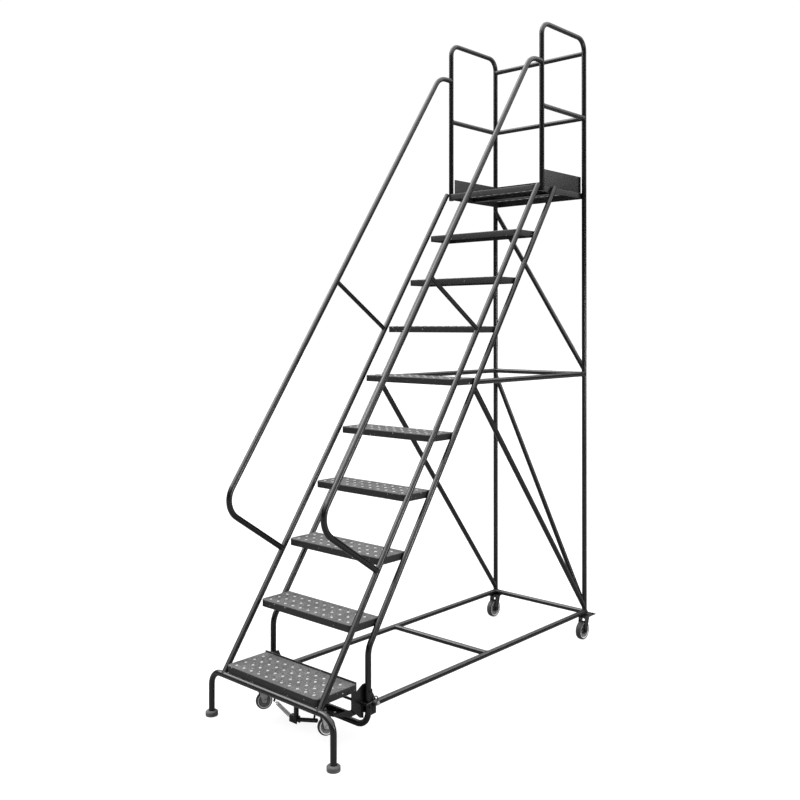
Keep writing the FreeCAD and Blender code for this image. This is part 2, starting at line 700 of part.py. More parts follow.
# ---------------------------------------------------------------- side brackets
# The plate is notched where the loop's bend swings inwards past it.
bend_start = dims.loop_height + dims.loop_radius + dims.notch_margin
bracket_front = first_back - dims.bracket_lap
bracket_back = leg_y + dims.bracket_back_gap
ear_height = first_underside + dims.bracket_ear_rise
bracket_outline = [
    (bracket_front, first_underside), (bracket_front, front_tube_height - dims.bracket_front_drop),
    (pivot_y - dims.bracket_slant, pivot_height - dims.bracket_slant_drop),
    (leg_y, pivot_height - dims.bracket_foot_drop),
    (bracket_back, pivot_height - dims.bracket_back_drop),
    (bracket_back, dims.base_tube_height + dims.bracket_base_rise),
    (pivot_y + dims.bracket_shoulder, dims.leg_splice_height),
    (leg_y + dims.bracket_ear, ear_height), (leg_y - dims.bracket_ear, ear_height),
    (first_back + dims.bracket_heel, first_underside)]
for word, side in SIDES.items():
    holes = [((leg_y, height), dims.bolt_diameter / 2) for height in splice_bolts.values()]
    holes.append(((base_bolt_y, dims.base_tube_height), dims.bolt_diameter / 2))
    holes.append(((pivot_y, pivot_height), dims.pivot_diameter / 2))
    if side > 0:
        hole_radius = dims.release_rod_outer / 2 + dims.running_clearance
        holes.append(((release_y, dims.release_height), hole_radius))
    bracket = plate(f"side_bracket_{word}", "YZ", bracket_outline,
                    [None] * len(bracket_outline), dims.bracket_thickness, holes)
    start = inner_face - dims.bracket_thickness if side > 0 else -inner_face
    place(bracket, start, 0, 0)
    notch_half = tube_radius + dims.notch_margin
    notch = box(f"bracket_notch_{word}", (start, leg_y - notch_half, 0),
                (start + dims.bracket_thickness, leg_y + notch_half, bend_start))
    keep(f"side_bracket_{word}", cut(f"side_bracket_{word}", bracket, notch))


# ---------------------------------------------------------------- wheels
def wheel(name, diameter, width, axle):
    """A solid wheel turned in one piece: crowned tread, dished web and a hub with its bore."""
    outer = diameter / 2
    half = width / 2
    bore = axle / 2 + dims.running_clearance
    rim = outer * WHEEL_SHARES["rim"]
    hub = outer * WHEEL_SHARES["hub"]
    web = half * WHEEL_SHARES["web"]
    fillet, side = dims.web_fillet, half - dims.rim_step
    shoulder = outer - dims.tyre_shoulder
    right = [(shoulder, side), (rim, side), (rim - fillet, web), (hub + fillet, web),
             (hub, half), (bore, half)]
    left = [(radius, -height) for radius, height in reversed(right)]
    outline = left + [(outer, dims.tyre_side - half), (outer, half - dims.tyre_side)] + right
    return turned(name, outline, [None] * len(outline))


# ---------------------------------------------------------------- rear casters
rear_wheel_radius = dims.rear_wheel_diameter / 2
rear_wheel_y = post_y - dims.rear_wheel_setback
plate_top = dims.base_tube_height - tube_radius
plate_bottom = plate_top - dims.plate_thickness
plate_y = along(rear_plate_middle)
leg_offset = dims.rear_wheel_width / 2 + dims.open_clearance
forks = []
axles = []
for word, side in SIDES.items():
    x = half_frame * side
    top_plate = box(f"rear_plate_{word}",
                    (x - dims.rear_plate_width / 2, plate_y - dims.rear_plate_length / 2,
                     plate_bottom),
                    (x + dims.rear_plate_width / 2, plate_y + dims.rear_plate_length / 2,
                     plate_top))
    cheeks = []
    for cheek_side in (-1, 1):
        cheek_low = rear_wheel_radius - dims.rear_cheek_half
        cheek_top = dims.rear_plate_length / 2 - dims.rear_cheek_inset
        outline = [(rear_wheel_y - dims.rear_cheek_half, cheek_low),
                   (rear_wheel_y + dims.rear_cheek_half, cheek_low),
                   (plate_y + cheek_top, plate_bottom), (plate_y - cheek_top, plate_bottom)]
        cheek = plate(f"rear_cheek_{word}_{'a' if cheek_side < 0 else 'b'}", "YZ", outline,
                      [dims.rear_cheek_corner] * 2 + [None] * 2, dims.plate_thickness,
                      [((rear_wheel_y, rear_wheel_radius), dims.rear_axle_diameter / 2)])
        start = leg_offset if cheek_side > 0 else -leg_offset - dims.plate_thickness
        cheeks.append(place(cheek, x + start, 0, 0))
    forks.append(fuse(f"rear_fork_{word}", top_plate, *cheeks))
    tyre = wheel(f"rear_wheel_{word}", dims.rear_wheel_diameter, dims.rear_wheel_width,
                 dims.rear_axle_diameter)
    keep(f"rear_wheel_{word}", across_x(tyre, x, rear_wheel_y, rear_wheel_radius))
    reach = leg_offset + dims.plate_thickness
    piece, _ = bolt(f"rear_axle_{word}", 1, x - reach, x + reach, rear_wheel_y,
                    rear_wheel_radius, dims.rear_axle_diameter)
    axles.append(piece)
keep("rear_caster_forks", group("rear_caster_forks", *forks))
keep("rear_caster_axles", group("rear_caster_axles", *axles))

# ---------------------------------------------------------------- caster yoke
# The yoke and all it carries are drawn with the casters down and level, about the pivot's
# axis, and are then raised together by the travel of the lock step.
deck_top = -dims.yoke_deck_drop + dims.plate_thickness
deck_bottom = -dims.yoke_deck_drop
beam_low = deck_bottom
beam_high = beam_low + dims.yoke_beam_size
beam_front = -dims.yoke_beam_reach - dims.yoke_beam_size / 2
beam_back = beam_front + dims.yoke_beam_size
deck_half = dims.caster_plate_length / 2 + dims.deck_margin
deck_front = -dims.swivel_reach - deck_half
wing_inner = half_swivel - dims.caster_plate_length / 2 - dims.wing_margin
end_half = dims.arm_end_half
arm_outline = [(deck_front, deck_bottom), (beam_back + dims.arm_beam_lap, deck_bottom),
               (-dims.arm_neck_front, -dims.arm_neck_drop),
               (-dims.arm_neck_back, -dims.arm_neck_drop), (0, -end_half),
               (end_half, -end_half), (end_half, end_half), (-end_half, end_half),
               (beam_back, beam_high + dims.arm_beam_rise),
               (deck_front, deck_top + dims.arm_front_rise)]
yoke_pieces = []
for word, side in SIDES.items():
    arm = plate(f"yoke_arm_{word}", "YZ", arm_outline,
                [None] * 5 + [dims.arm_end_corner] * 3 + [None] * 2, dims.yoke_arm_thickness,
                [((0, 0), dims.pivot_diameter / 2 + dims.running_clearance)])
    yoke_pieces.append(place(arm, arm_inner if side > 0 else -arm_outer, 0, 0))
    wing = [side * wing_inner, side * arm_inner]
    wing.sort(key=lambda edge: edge.value)
    yoke_pieces.append(box(f"yoke_wing_{word}", (wing[0], deck_front, deck_bottom),
                           (wing[1], beam_front, deck_top)))
beam = box("yoke_beam", (-arm_inner, beam_front, beam_low), (arm_inner, beam_back, beam_high))
beam_bore = box("yoke_beam_bore",
                (-arm_inner, beam_front + dims.tube_wall, beam_low + dims.tube_wall),
                (arm_inner, beam_back - dims.tube_wall, beam_high - dims.tube_wall))
yoke_pieces.append(cut("yoke_beam", beam, beam_bore))
# The prop lug ends just over the lock bar; the spring lug is its opposite number.
lug_rest_y = center_station - pivot_station
lug_rest_z = lock_top + dims.lug_gap - pivot_height
lug_y = lug_rest_y * cosine(yoke_angle) - lug_rest_z * sine(yoke_angle)
lug_z = lug_rest_y * sine(yoke_angle) + lug_rest_z * cosine(yoke_angle)
for label, x in (("prop", lug_x), ("spring", -lug_x - dims.spring_lug_offset)):
    yoke_pieces.append(box(f"yoke_{label}_lug", (x - dims.lug_half, lug_y - dims.lug_reach, lug_z),
                           (x + dims.lug_half, beam_front, beam_low + dims.lug_lap)))
yoke = fuse("caster_yoke", *yoke_pieces)
yoke.Placement = yoke_pose
keep("caster_yoke", yoke)

# ---------------------------------------------------------------- front casters
race_top = deck_bottom - dims.plate_thickness
crown_top = race_top - dims.race_height
crown_bottom = crown_top - dims.plate_thickness
plates = []
for word, side in SIDES.items():
    x = half_swivel * side
    half_plate = dims.caster_plate_length / 2
    mount_plate = box(f"caster_plate_{word}",
                      (x - half_plate, -dims.swivel_reach - half_plate, race_top),
                      (x + half_plate, -dims.swivel_reach + half_plate, deck_bottom))
    race = rod(f"caster_race_{word}", (x, -dims.swivel_reach, crown_top + dims.race_gap),
               (x, -dims.swivel_reach, race_top), dims.race_diameter / 2)
    plates.append(fuse(f"caster_plate_{word}", mount_plate, race))
caster_plates = group("front_caster_plates", *plates)
caster_plates.Placement = yoke_pose
keep("front_caster_plates", caster_plates)

cheek_offset = dims.front_wheel_width / 2 + dims.open_clearance
for word, side in SIDES.items():
    swivel_pose = FreeCAD.Placement(
        Vector(half_swivel.value * side, -dims.swivel_reach.value, 0),
        Rotation(Vector(0, 0, 1), dims.swivel_yaw.value))
    caster_pose = yoke_pose.multiply(swivel_pose)
    crown_half = cheek_offset + dims.fork_thickness
    crown = box(f"fork_crown_{word}", (-crown_half, -dims.crown_front, crown_bottom),
                (crown_half, dims.crown_back, crown_top))
    cheeks = []
    for cheek_side in (-1, 1):
        half_foot = dims.front_cheek_half
        outline = [(-dims.front_cheek_front, crown_top),
                   (dims.swivel_trail - half_foot, -wheel_drop - half_foot),
                   (dims.swivel_trail + half_foot, -wheel_drop - half_foot),
                   (dims.crown_back, crown_top)]
        cheek = plate(f"fork_cheek_{word}_{'a' if cheek_side < 0 else 'b'}", "YZ", outline,
                      [None] + [dims.front_cheek_corner] * 2 + [None], dims.fork_thickness,
                      [((dims.swivel_trail, -wheel_drop), dims.front_axle_diameter / 2)])
        start = cheek_offset if cheek_side > 0 else -cheek_offset - dims.fork_thickness
        cheeks.append(place(cheek, start, 0, 0))
    fork = fuse(f"front_fork_{word}", crown, *cheeks)
    fork.Placement = caster_pose
    keep(f"front_caster_fork_{word}", fork)
    tyre = wheel(f"front_wheel_{word}", dims.front_wheel_diameter, dims.front_wheel_width,
                 dims.front_axle_diameter)
    hub_pose = FreeCAD.Placement(Vector(0, dims.swivel_trail.value, -wheel_drop.value),
                                 Rotation(Vector(0, 1, 0), 90))
    tyre.Placement = caster_pose.multiply(hub_pose)
    keep(f"front_wheel_{word}", tyre)
    reach = cheek_offset + dims.fork_thickness
    piece, _ = bolt(f"front_axle_{word}", 1, -reach, reach, dims.swivel_trail, -wheel_drop,
                    dims.front_axle_diameter)
    piece.Placement = caster_pose
    keep(f"front_caster_axle_{word}", piece)

# ---------------------------------------------------------------- centre post and lock bar
pin_radius = dims.bolt_diameter / 2
pin_z = dims.center_pin_height
cheek_gap = dims.eye_width / 2 + dims.eye_gap
cheek_out = cheek_gap + dims.cheek_thickness
cheek_low = pin_z - dims.cheek_drop
cheek_high = pin_z + dims.cheek_rise
spring_pin_x = -dims.spring_pin_offset
post_pieces = [
    rod("center_tube", (0, center_y, cheek_high),
        (0, center_y, dims.tread_rise - dims.sheet_thickness), dims.center_post_outer / 2),
    box("center_top", (-dims.cheek_left, center_y - cheek_out, cheek_high),
        (dims.cheek_right, center_y + cheek_out, cheek_high + dims.cheek_thickness)),
    rod("center_pin", (0, center_y - cheek_out, pin_z), (0, center_y + cheek_out, pin_z),
        pin_radius),
    rod("spring_pin", (spring_pin_x, center_y - cheek_out, pin_z),
        (spring_pin_x, center_y + cheek_out, pin_z), dims.spring_pin_radius),
]
for label, start in (("front", center_y - cheek_out), ("back", center_y + cheek_gap)):
    post_pieces.append(box(f"center_cheek_{label}", (-dims.cheek_left, start, cheek_low),
                           (dims.cheek_right, start + dims.cheek_thickness, cheek_high)))
keep("center_post", fuse("center_post", *post_pieces))

eye = rod("lock_eye", (0, center_y - dims.eye_width / 2, pin_z),
          (0, center_y + dims.eye_width / 2, pin_z), pin_radius + dims.eye_wall)
eye_bore = rod("lock_bore", (0, center_y - dims.eye_width, pin_z),
               (0, center_y + dims.eye_width, pin_z), pin_radius + dims.running_clearance)
bar_x = pin_radius + dims.bar_start
bar = rod("lock_rod", (bar_x, center_y, pin_z + lock_slope * bar_x),
          (dims.lock_bar_reach, center_y, pin_z + dims.lock_bar_rise), dims.lock_bar_outer / 2)
neck_x = pin_radius + dims.neck_reach
neck = rod("lock_neck", (0, center_y, pin_z), (neck_x, center_y, pin_z + lock_slope * neck_x),
           dims.eye_width / 2 - dims.eye_gap)
keep("lock_bar", cut("lock_bar", fuse("lock_bar", eye, neck, bar), eye_bore))

# ---------------------------------------------------------------- yoke spring
spring_low = (spring_pin_x - dims.hook_side, center_y, pin_z + dims.hook_rise)
spring_high = (-lug_x - dims.spring_lug_offset + dims.hook_lug_side, center_y,
               lock_top + dims.hook_lug_rise)
spring_dx = spring_high[0] - spring_low[0]
spring_dz = spring_high[2] - spring_low[2]
coil_ends = [(spring_low[0] + spring_dx * share, center_y, spring_low[2] + spring_dz * share)
             for share in COIL_SHARES]
keep("yoke_spring", fuse(
    "yoke_spring", rod("spring_hooks", spring_low, spring_high, dims.spring_wire / 2),
    rod("spring_coil", *coil_ends, dims.spring_outer / 2)))

# ---------------------------------------------------------------- release rod and pull ring
wire_radius = dims.ring_wire / 2
ring_x = half_frame + tube_radius + dims.open_clearance + wire_radius + dims.ring_gap
ring_y = along(leg_station + dims.ring_setback)
release_start = dims.swivel_spacing / 4
pull_rod = rod("pull_rod", (release_start, release_y, dims.release_height),
               (ring_x, release_y, dims.release_height), dims.release_rod_outer / 2)
pull_wire = rod("pull_wire", (ring_x, release_y, dims.release_height),
                (ring_x, ring_y - dims.ring_radius, dims.ring_height - dims.ring_foot), wire_radius)
pull_ring = doc.addObject("Part::Torus", "pull_ring")
pull_ring.Placement = FreeCAD.Placement(Vector(), Rotation(Vector(0, 1, 0), 90))
bind(pull_ring, "Radius1", dims.ring_radius)
bind(pull_ring, "Radius2", wire_radius)
place(pull_ring, ring_x, ring_y, dims.ring_height)
keep("release_rod", fuse("release_rod", pull_rod, pull_wire, pull_ring))

# ---------------------------------------------------------------- end caps of the open tubes
caps = []
cap_thickness = dims.sheet_thickness
for word, side in SIDES.items():
    x = half_frame * side
    ends = {
        "front_top": (front_line(stringer_top), stringer_top, slope, 1),
        "rear_top": (rear_line(stringer_top), stringer_top, slope, 1),
        "base_front": (along(base_tube_start), dims.base_tube_height, -1, 0),
        "base_back": (post_y + tube_radius, dims.base_tube_height, 1, 0),
        "guard_foot": (guard_y, apron_bottom, 0, -1)}
    for label, (y, z, run, rise) in ends.items():
        length = math.sqrt(as_size(run).value ** 2 + rise ** 2)
        end = (x, y + cap_thickness * run / length, z + cap_thickness * rise / length)
        caps.append(rod(f"cap_{label}_{word}", (x, y, z), end, tube_radius))
keep("tube_caps", group("tube_caps", *caps))

# ---------------------------------------------------------------- checks and export
doc.recompute()
faults = [thing.Label for thing in doc.Objects
          if any(word in thing.State for word in ("Invalid", "Error"))]
for label, thing in nodes.items():
    shape = thing.Shape
    if shape.isNull() or not shape.isValid() or not shape.Solids:
        faults.append(f"{label}: shape")
if faults:
    raise SystemExit(f"failed: {faults}")
os.makedirs("parts", exist_ok=True)
for label, thing in nodes.items():
    thing.Shape.exportStep(f"parts/{label}.step")
print(f"{len(nodes)} nodes written")
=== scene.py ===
import bmesh
import bpy
import json
import math
import numpy as np
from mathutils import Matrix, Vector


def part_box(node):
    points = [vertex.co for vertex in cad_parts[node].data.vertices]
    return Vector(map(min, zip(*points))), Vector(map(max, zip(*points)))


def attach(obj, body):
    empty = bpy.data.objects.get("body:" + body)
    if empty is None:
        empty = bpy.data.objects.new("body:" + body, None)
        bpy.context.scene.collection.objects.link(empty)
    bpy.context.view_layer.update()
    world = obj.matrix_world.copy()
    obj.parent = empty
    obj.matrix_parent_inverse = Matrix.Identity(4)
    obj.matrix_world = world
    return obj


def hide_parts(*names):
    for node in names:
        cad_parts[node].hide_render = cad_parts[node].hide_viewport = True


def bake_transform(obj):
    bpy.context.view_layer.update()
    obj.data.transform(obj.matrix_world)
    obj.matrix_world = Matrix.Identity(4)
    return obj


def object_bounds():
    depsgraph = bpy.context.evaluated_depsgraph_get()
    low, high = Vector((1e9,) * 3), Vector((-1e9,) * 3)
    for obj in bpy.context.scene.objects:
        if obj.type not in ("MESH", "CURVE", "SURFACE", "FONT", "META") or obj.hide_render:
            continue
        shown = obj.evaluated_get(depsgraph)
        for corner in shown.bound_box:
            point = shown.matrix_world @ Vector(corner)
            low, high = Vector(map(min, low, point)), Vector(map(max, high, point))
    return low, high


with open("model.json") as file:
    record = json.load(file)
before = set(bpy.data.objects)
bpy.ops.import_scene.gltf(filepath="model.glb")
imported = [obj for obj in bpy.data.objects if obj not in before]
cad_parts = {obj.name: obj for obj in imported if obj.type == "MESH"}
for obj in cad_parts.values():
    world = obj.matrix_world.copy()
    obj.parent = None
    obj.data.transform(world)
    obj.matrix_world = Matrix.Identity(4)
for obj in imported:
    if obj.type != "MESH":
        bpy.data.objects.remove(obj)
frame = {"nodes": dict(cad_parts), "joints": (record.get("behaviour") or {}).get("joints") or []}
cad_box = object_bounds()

# Studio: a pale floor that runs off to a white room, with a glow that only the camera sees, a
# broad soft light from above and four weak softboxes. Glossy skins see a dark room with a bright
# ceiling, so that each dark tube carries one pale streak and a black underside.
FLOOR_REACH = 60.0
FLOOR_STEPS = 12
SKY_POWER = 2.3
CEILING_GLOW, ROOM_GLOW, ROOM_DARK = 2.8, 0.40, 0.012
CEILING_EDGE = (0.30, 0.75)
ROOM_WHITE = 1.05
FLOOR_TONE, FLOOR_LIFT = 0.32, 0.86
PAPER_GRAIN, PAPER_ROUGHNESS = 3.0, 0.9
FLOOR_DROP = 0.0005
SKY_SPREAD, SKY_TURN = 50, (18, -24)
SOFTBOXES = {
    "softbox_key": ((-3.6, -4.4, 6.2), (0.0, -0.2, 1.4), 2.4, 95.0),
    "softbox_left": ((-5.5, -1.0, 5.0), (0.0, 0.2, 1.6), 2.6, 80.0),
    "softbox_rear": ((3.8, 4.6, 4.6), (0.0, 0.4, 1.6), 3.0, 60.0),
    "softbox_right": ((4.6, 0.4, 1.6), (0.3, 0.4, 0.1), 1.4, 75.0),
}


def grid_faces(rows, columns, wrap_rows=False, wrap_columns=False, start=0):
    """Quads between neighbours of a rows x columns grid of points numbered row by row."""
    row = np.arange(rows if wrap_rows else rows - 1)[:, None]
    column = np.arange(columns if wrap_columns else columns - 1)[None, :]
    below, beside = (row + 1) % rows, (column + 1) % columns
    corners = [row * columns + column, row * columns + beside,
               below * columns + beside, below * columns + column]
    return (np.stack(np.broadcast_arrays(*corners), -1).reshape(-1, 4) + start).tolist()


def grid_surface(points, wrap_rows=False, wrap_columns=False):
    """A grid of points as one list of points and its quads."""
    rows, columns = points.shape[:2]
    return points.reshape(-1, 3), grid_faces(rows, columns, wrap_rows, wrap_columns)


def axis_frame(axis):
    """An axis as a unit vector, and two unit vectors square to it and to each other."""
    axis = np.array(axis, float) / np.linalg.norm(axis)
    spare = np.array((0, 0, 1) if abs(axis[2]) < 0.8 else (1, 0, 0), float)
    side = np.cross(spare, axis)
    side /= np.linalg.norm(side)
    return axis, side, np.cross(axis, side)


def spokes(side, other, count):
    """Even angles round a circle, and the outward direction at each."""
    angle = np.linspace(0, 2 * math.pi, count, endpoint=False)
    return angle, np.cos(angle)[:, None] * side + np.sin(angle)[:, None] * other


def make_piece(name, surfaces, material, crease=35.0):
    """One object from several (points, faces) surfaces: each keeps its own points, seams and
    poles are closed, faces point outwards, and edges sharper than the crease stay crisp."""
    counts = np.cumsum([0] + [len(points) for points, _ in surfaces])
    faces = [[corner + int(first) for corner in face]
             for (_, quads), first in zip(surfaces, counts) for face in quads]
    mesh = bpy.data.meshes.new(name)
    mesh.from_pydata(np.concatenate([points for points, _ in surfaces]).tolist(), [], faces)
    tidy = bmesh.new()
    tidy.from_mesh(mesh)
    bmesh.ops.remove_doubles(tidy, verts=tidy.verts, dist=1e-6)
    bmesh.ops.recalc_face_normals(tidy, faces=tidy.faces)
    tidy.to_mesh(mesh)
    tidy.free()
    mesh.polygons.foreach_set("use_smooth", np.ones(len(mesh.polygons), bool))
    mesh.set_sharp_from_angle(angle=math.radians(crease))
    mesh.materials.append(material)
    piece = bpy.data.objects.new(name, mesh)
    bpy.context.scene.collection.objects.link(piece)
    return piece


def new_material(name):
    """A material with its node tree and its Principled shader."""
    material = bpy.data.materials.new(name)
    material.use_nodes = True
    tree = material.node_tree
    shader = next(node for node in tree.nodes if node.type == "BSDF_PRINCIPLED")
    return material, tree, shader


def effect_group(name, inputs, outputs):
    """An empty shader node group with named sockets, given as (kind, name, first value)."""
    effect = bpy.data.node_groups.new(name, "ShaderNodeTree")
    for kind, label, value in inputs:
        socket = effect.interface.new_socket(label, in_out="INPUT", socket_type=kind)
        if value is not None:
            socket.default_value = value
    for kind, label in outputs:
        effect.interface.new_socket(label, in_out="OUTPUT", socket_type=kind)
    return effect, effect.nodes.new("NodeGroupInput"), effect.nodes.new("NodeGroupOutput")


def add_node(tree, kind, settings=(), **links):
    """A node with its plain settings, and sockets given as a value or as an output to link."""
    node = tree.nodes.new(kind)
    for label, value in dict(settings).items():
        setattr(node, label, value)
    for label, value in links.items():
        number = label[1:] if label.startswith("i") and label[1:].isdigit() else None
        socket = node.inputs[int(number) if number else label.replace("_", " ")]
        if isinstance(value, bpy.types.NodeSocket):
            tree.links.new(value, socket)
        else:
            socket.default_value = value
    return node


floor_paper, paper_tree, paper = new_material("studio_floor_paper")
paper_grain = add_node(paper_tree, "ShaderNodeTexNoise", Scale=PAPER_GRAIN)
paper_tone = add_node(paper_tree, "ShaderNodeMix", {"data_type": "RGBA"},
                      i0=paper_grain.outputs["Fac"],
                      i6=(FLOOR_TONE, FLOOR_TONE, FLOOR_TONE * 0.995, 1.0),
                      i7=(FLOOR_TONE * 1.02,) * 3 + (1.0,))
paper_tree.links.new(paper_tone.outputs[2], paper.inputs["Base Color"])
paper.inputs["Roughness"].default_value = PAPER_ROUGHNESS
paper.inputs["Emission Color"].default_value = (1.0, 1.0, 1.0, 1.0)
paper_path = add_node(paper_tree, "ShaderNodeLightPath")
paper_lift = add_node(paper_tree, "ShaderNodeMath", {"operation": "MULTIPLY"},
                      i0=paper_path.outputs["Is Camera Ray"], i1=FLOOR_LIFT)
paper_tree.links.new(paper_lift.outputs["Value"], paper.inputs["Emission Strength"])
across = np.linspace(-FLOOR_REACH, FLOOR_REACH, FLOOR_STEPS)
floor_x, floor_y = np.meshgrid(across, across)
floor_z = np.full_like(floor_x, cad_box[0].z - FLOOR_DROP)
floor = make_piece("studio_floor", [grid_surface(np.stack([floor_x, floor_y, floor_z], -1))],
                   floor_paper)

room = bpy.data.worlds.new("studio_room")
bpy.context.scene.world = room
room.use_nodes = True
room_tree = room.node_tree
room_tree.nodes.clear()
room_path = add_node(room_tree, "ShaderNodeLightPath")
room_split = add_node(room_tree, "ShaderNodeSeparateXYZ",
                      Vector=add_node(room_tree, "ShaderNodeTexCoord").outputs["Generated"])
ceiling = add_node(room_tree, "ShaderNodeMapRange", {"interpolation_type": "SMOOTHSTEP"},
                   i0=room_split.outputs["Z"], i1=CEILING_EDGE[0], i2=CEILING_EDGE[1],
                   i3=ROOM_DARK, i4=CEILING_GLOW)
lit = None
for ray, strength in ((None, ROOM_GLOW), ("Is Glossy Ray", ceiling.outputs["Result"]),
                      ("Is Camera Ray", ROOM_WHITE)):
    shade = add_node(room_tree, "ShaderNodeBackground", Strength=strength,
                     Color=(1.0, 1.0, 1.0, 1.0)).outputs["Background"]
    lit = shade if ray is None else add_node(room_tree, "ShaderNodeMixShader", i1=lit, i2=shade,
                                             i0=room_path.outputs[ray]).outputs["Shader"]
add_node(room_tree, "ShaderNodeOutputWorld", Surface=lit)
bpy.context.scene.view_settings.view_transform = "Standard"
skylight = bpy.data.lights.new("softbox_sky", "SUN")
skylight.energy, skylight.angle = SKY_POWER, math.radians(SKY_SPREAD)
sky_lamp = bpy.data.objects.new("softbox_sky", skylight)
sky_lamp.rotation_euler = (*np.radians(SKY_TURN), 0.0)
bpy.context.scene.collection.objects.link(sky_lamp)

for name, (stand, aim, size, watts) in SOFTBOXES.items():
    softbox = bpy.data.lights.new(name, "AREA")
    softbox.shape, softbox.size, softbox.energy = "DISK", size, watts
    lamp = bpy.data.objects.new(name, softbox)
    bpy.context.scene.collection.objects.link(lamp)
    lamp.location = stand
    direction = np.subtract(aim, stand)
    lamp.rotation_euler = (math.acos(-direction[2] / np.linalg.norm(direction)), 0.0,
                           math.atan2(direction[1], direction[0]) - math.pi / 2)

lens = bpy.data.cameras.new("studio_camera")
lens.sensor_width, lens.lens, lens.shift_y = 36.0, 42.031, -0.0975
camera = bpy.data.objects.new("studio_camera", lens)
camera.location = (3.10255, -3.64936, 1.77811)
camera.rotation_euler = (math.pi / 2 + 0.0045, 0.0, 0.7333)
bpy.context.scene.collection.objects.link(camera)
bpy.context.scene.camera = camera

# Charcoal powder coat: the satin paint baked on every tube, bracket, fork and lever. It has a fine
# orange-peel skin, mottled gloss, a little pale dust where it faces up, which also paints the
# light falling on the tops, and a few rubbed flecks.
CHARCOAL = (0.0050, 0.0050, 0.0056, 1.0)
# Pale tone for up-facing faces: dust, and also painted light on the tops.
DUST_AND_TOP_LIGHT = (0.20, 0.20, 0.198, 1.0)
RUBBED_STEEL = (0.07, 0.07, 0.072, 1.0)


NUMBER, COLOUR, PLACE = "NodeSocketFloat", "NodeSocketColor", "NodeSocketVector"
paint_skin, skin_in, skin_out = effect_group(
    "sprayed_skin",
    [(PLACE, "Place", None), (NUMBER, "Peel Size", 420.0), (NUMBER, "Mottle Size", 9.0)],
    [(NUMBER, "Height"), (NUMBER, "Mottle")])
peel = add_node(paint_skin, "ShaderNodeTexNoise", Vector=skin_in.outputs["Place"],
                Scale=skin_in.outputs["Peel Size"], Detail=2.0)
mottle = add_node(paint_skin, "ShaderNodeTexNoise", Vector=skin_in.outputs["Place"],
                  Scale=skin_in.outputs["Mottle Size"], Detail=4.0)
paint_skin.links.new(peel.outputs["Fac"], skin_out.inputs["Height"])
paint_skin.links.new(mottle.outputs["Fac"], skin_out.inputs["Mottle"])

# Paint with pale dust on up-facing faces, which also paints the light on the tops, rubbed flecks
# at random, and painted highlights from a mesh layer.
wear_and_light_effect, wear_in, wear_out = effect_group(
    "dust_and_rubs",
    [(PLACE, "Place", None), (COLOUR, "Paint", CHARCOAL), (COLOUR, "Dust", DUST_AND_TOP_LIGHT),
     (COLOUR, "Metal", RUBBED_STEEL), (NUMBER, "Dust Share", 0.35), (NUMBER, "Rub", 0.0),
     (NUMBER, "Gloss", 0.36)],
    [(COLOUR, "Colour"), (NUMBER, "Roughness")])
facing = add_node(wear_and_light_effect, "ShaderNodeSeparateXYZ",
                  Vector=add_node(wear_and_light_effect, "ShaderNodeNewGeometry").outputs["Normal"])
# Faces turned up get pale dust, which also paints the light falling on the tops.
upward = add_node(wear_and_light_effect, "ShaderNodeMapRange", i0=facing.outputs["Z"], i1=0.35, i2=1.0)
patches = add_node(wear_and_light_effect, "ShaderNodeTexNoise", Vector=wear_in.outputs["Place"],
                   Scale=14.0, Detail=6.0)
specks = add_node(wear_and_light_effect, "ShaderNodeTexNoise", Vector=wear_in.outputs["Place"],
                  Scale=210.0, Detail=2.0)
speck_mask = add_node(wear_and_light_effect, "ShaderNodeMapRange", i0=specks.outputs["Fac"],
                      i1=0.38, i2=0.62, i3=0.35, i4=1.25)
speckled = add_node(wear_and_light_effect, "ShaderNodeMath", {"operation": "MULTIPLY"},
                    i0=speck_mask.outputs["Result"], i1=patches.outputs["Fac"])
top_dust_and_light_mask = add_node(wear_and_light_effect, "ShaderNodeMath", {"operation": "MULTIPLY"},
                   i0=upward.outputs["Result"], i1=speckled.outputs["Value"])
dusting_and_top_light = add_node(wear_and_light_effect, "ShaderNodeMath", {"operation": "MULTIPLY"},
                   i0=top_dust_and_light_mask.outputs["Value"], i1=wear_in.outputs["Dust Share"])
flecks = add_node(wear_and_light_effect, "ShaderNodeTexNoise", Vector=wear_in.outputs["Place"],
                  Scale=95.0, Detail=3.0)
fleck_mask = add_node(wear_and_light_effect, "ShaderNodeMapRange", i0=flecks.outputs["Fac"],
                      i1=0.70, i2=0.76)
# Rubbed flecks at random, together with the painted highlights from the mesh layer.
rubs_and_highlights = add_node(wear_and_light_effect, "ShaderNodeMath", {"operation": "MAXIMUM"},
                  i0=fleck_mask.outputs["Result"], i1=wear_in.outputs["Rub"])
with_dust = add_node(wear_and_light_effect, "ShaderNodeMix", {"data_type": "RGBA"},
                     i0=dusting_and_top_light.outputs["Value"], i6=wear_in.outputs["Paint"],
                     i7=wear_in.outputs["Dust"])
with_rubs_and_highlights = add_node(wear_and_light_effect, "ShaderNodeMix", {"data_type": "RGBA"},
                     i0=rubs_and_highlights.outputs["Value"], i6=with_dust.outputs[2],
                     i7=wear_in.outputs["Metal"])
rougher = add_node(wear_and_light_effect, "ShaderNodeMath", {"operation": "MULTIPLY_ADD"},
                   i0=dusting_and_top_light.outputs["Value"], i1=0.8, i2=wear_in.outputs["Gloss"])
uneven = add_node(wear_and_light_effect, "ShaderNodeMath", {"operation": "MULTIPLY_ADD"},
                  i0=patches.outputs["Fac"], i1=0.12, i2=rougher.outputs["Value"])
wear_and_light_effect.links.new(with_rubs_and_highlights.outputs[2], wear_out.inputs["Colour"])
wear_and_light_effect.links.new(uneven.outputs["Value"], wear_out.inputs["Roughness"])


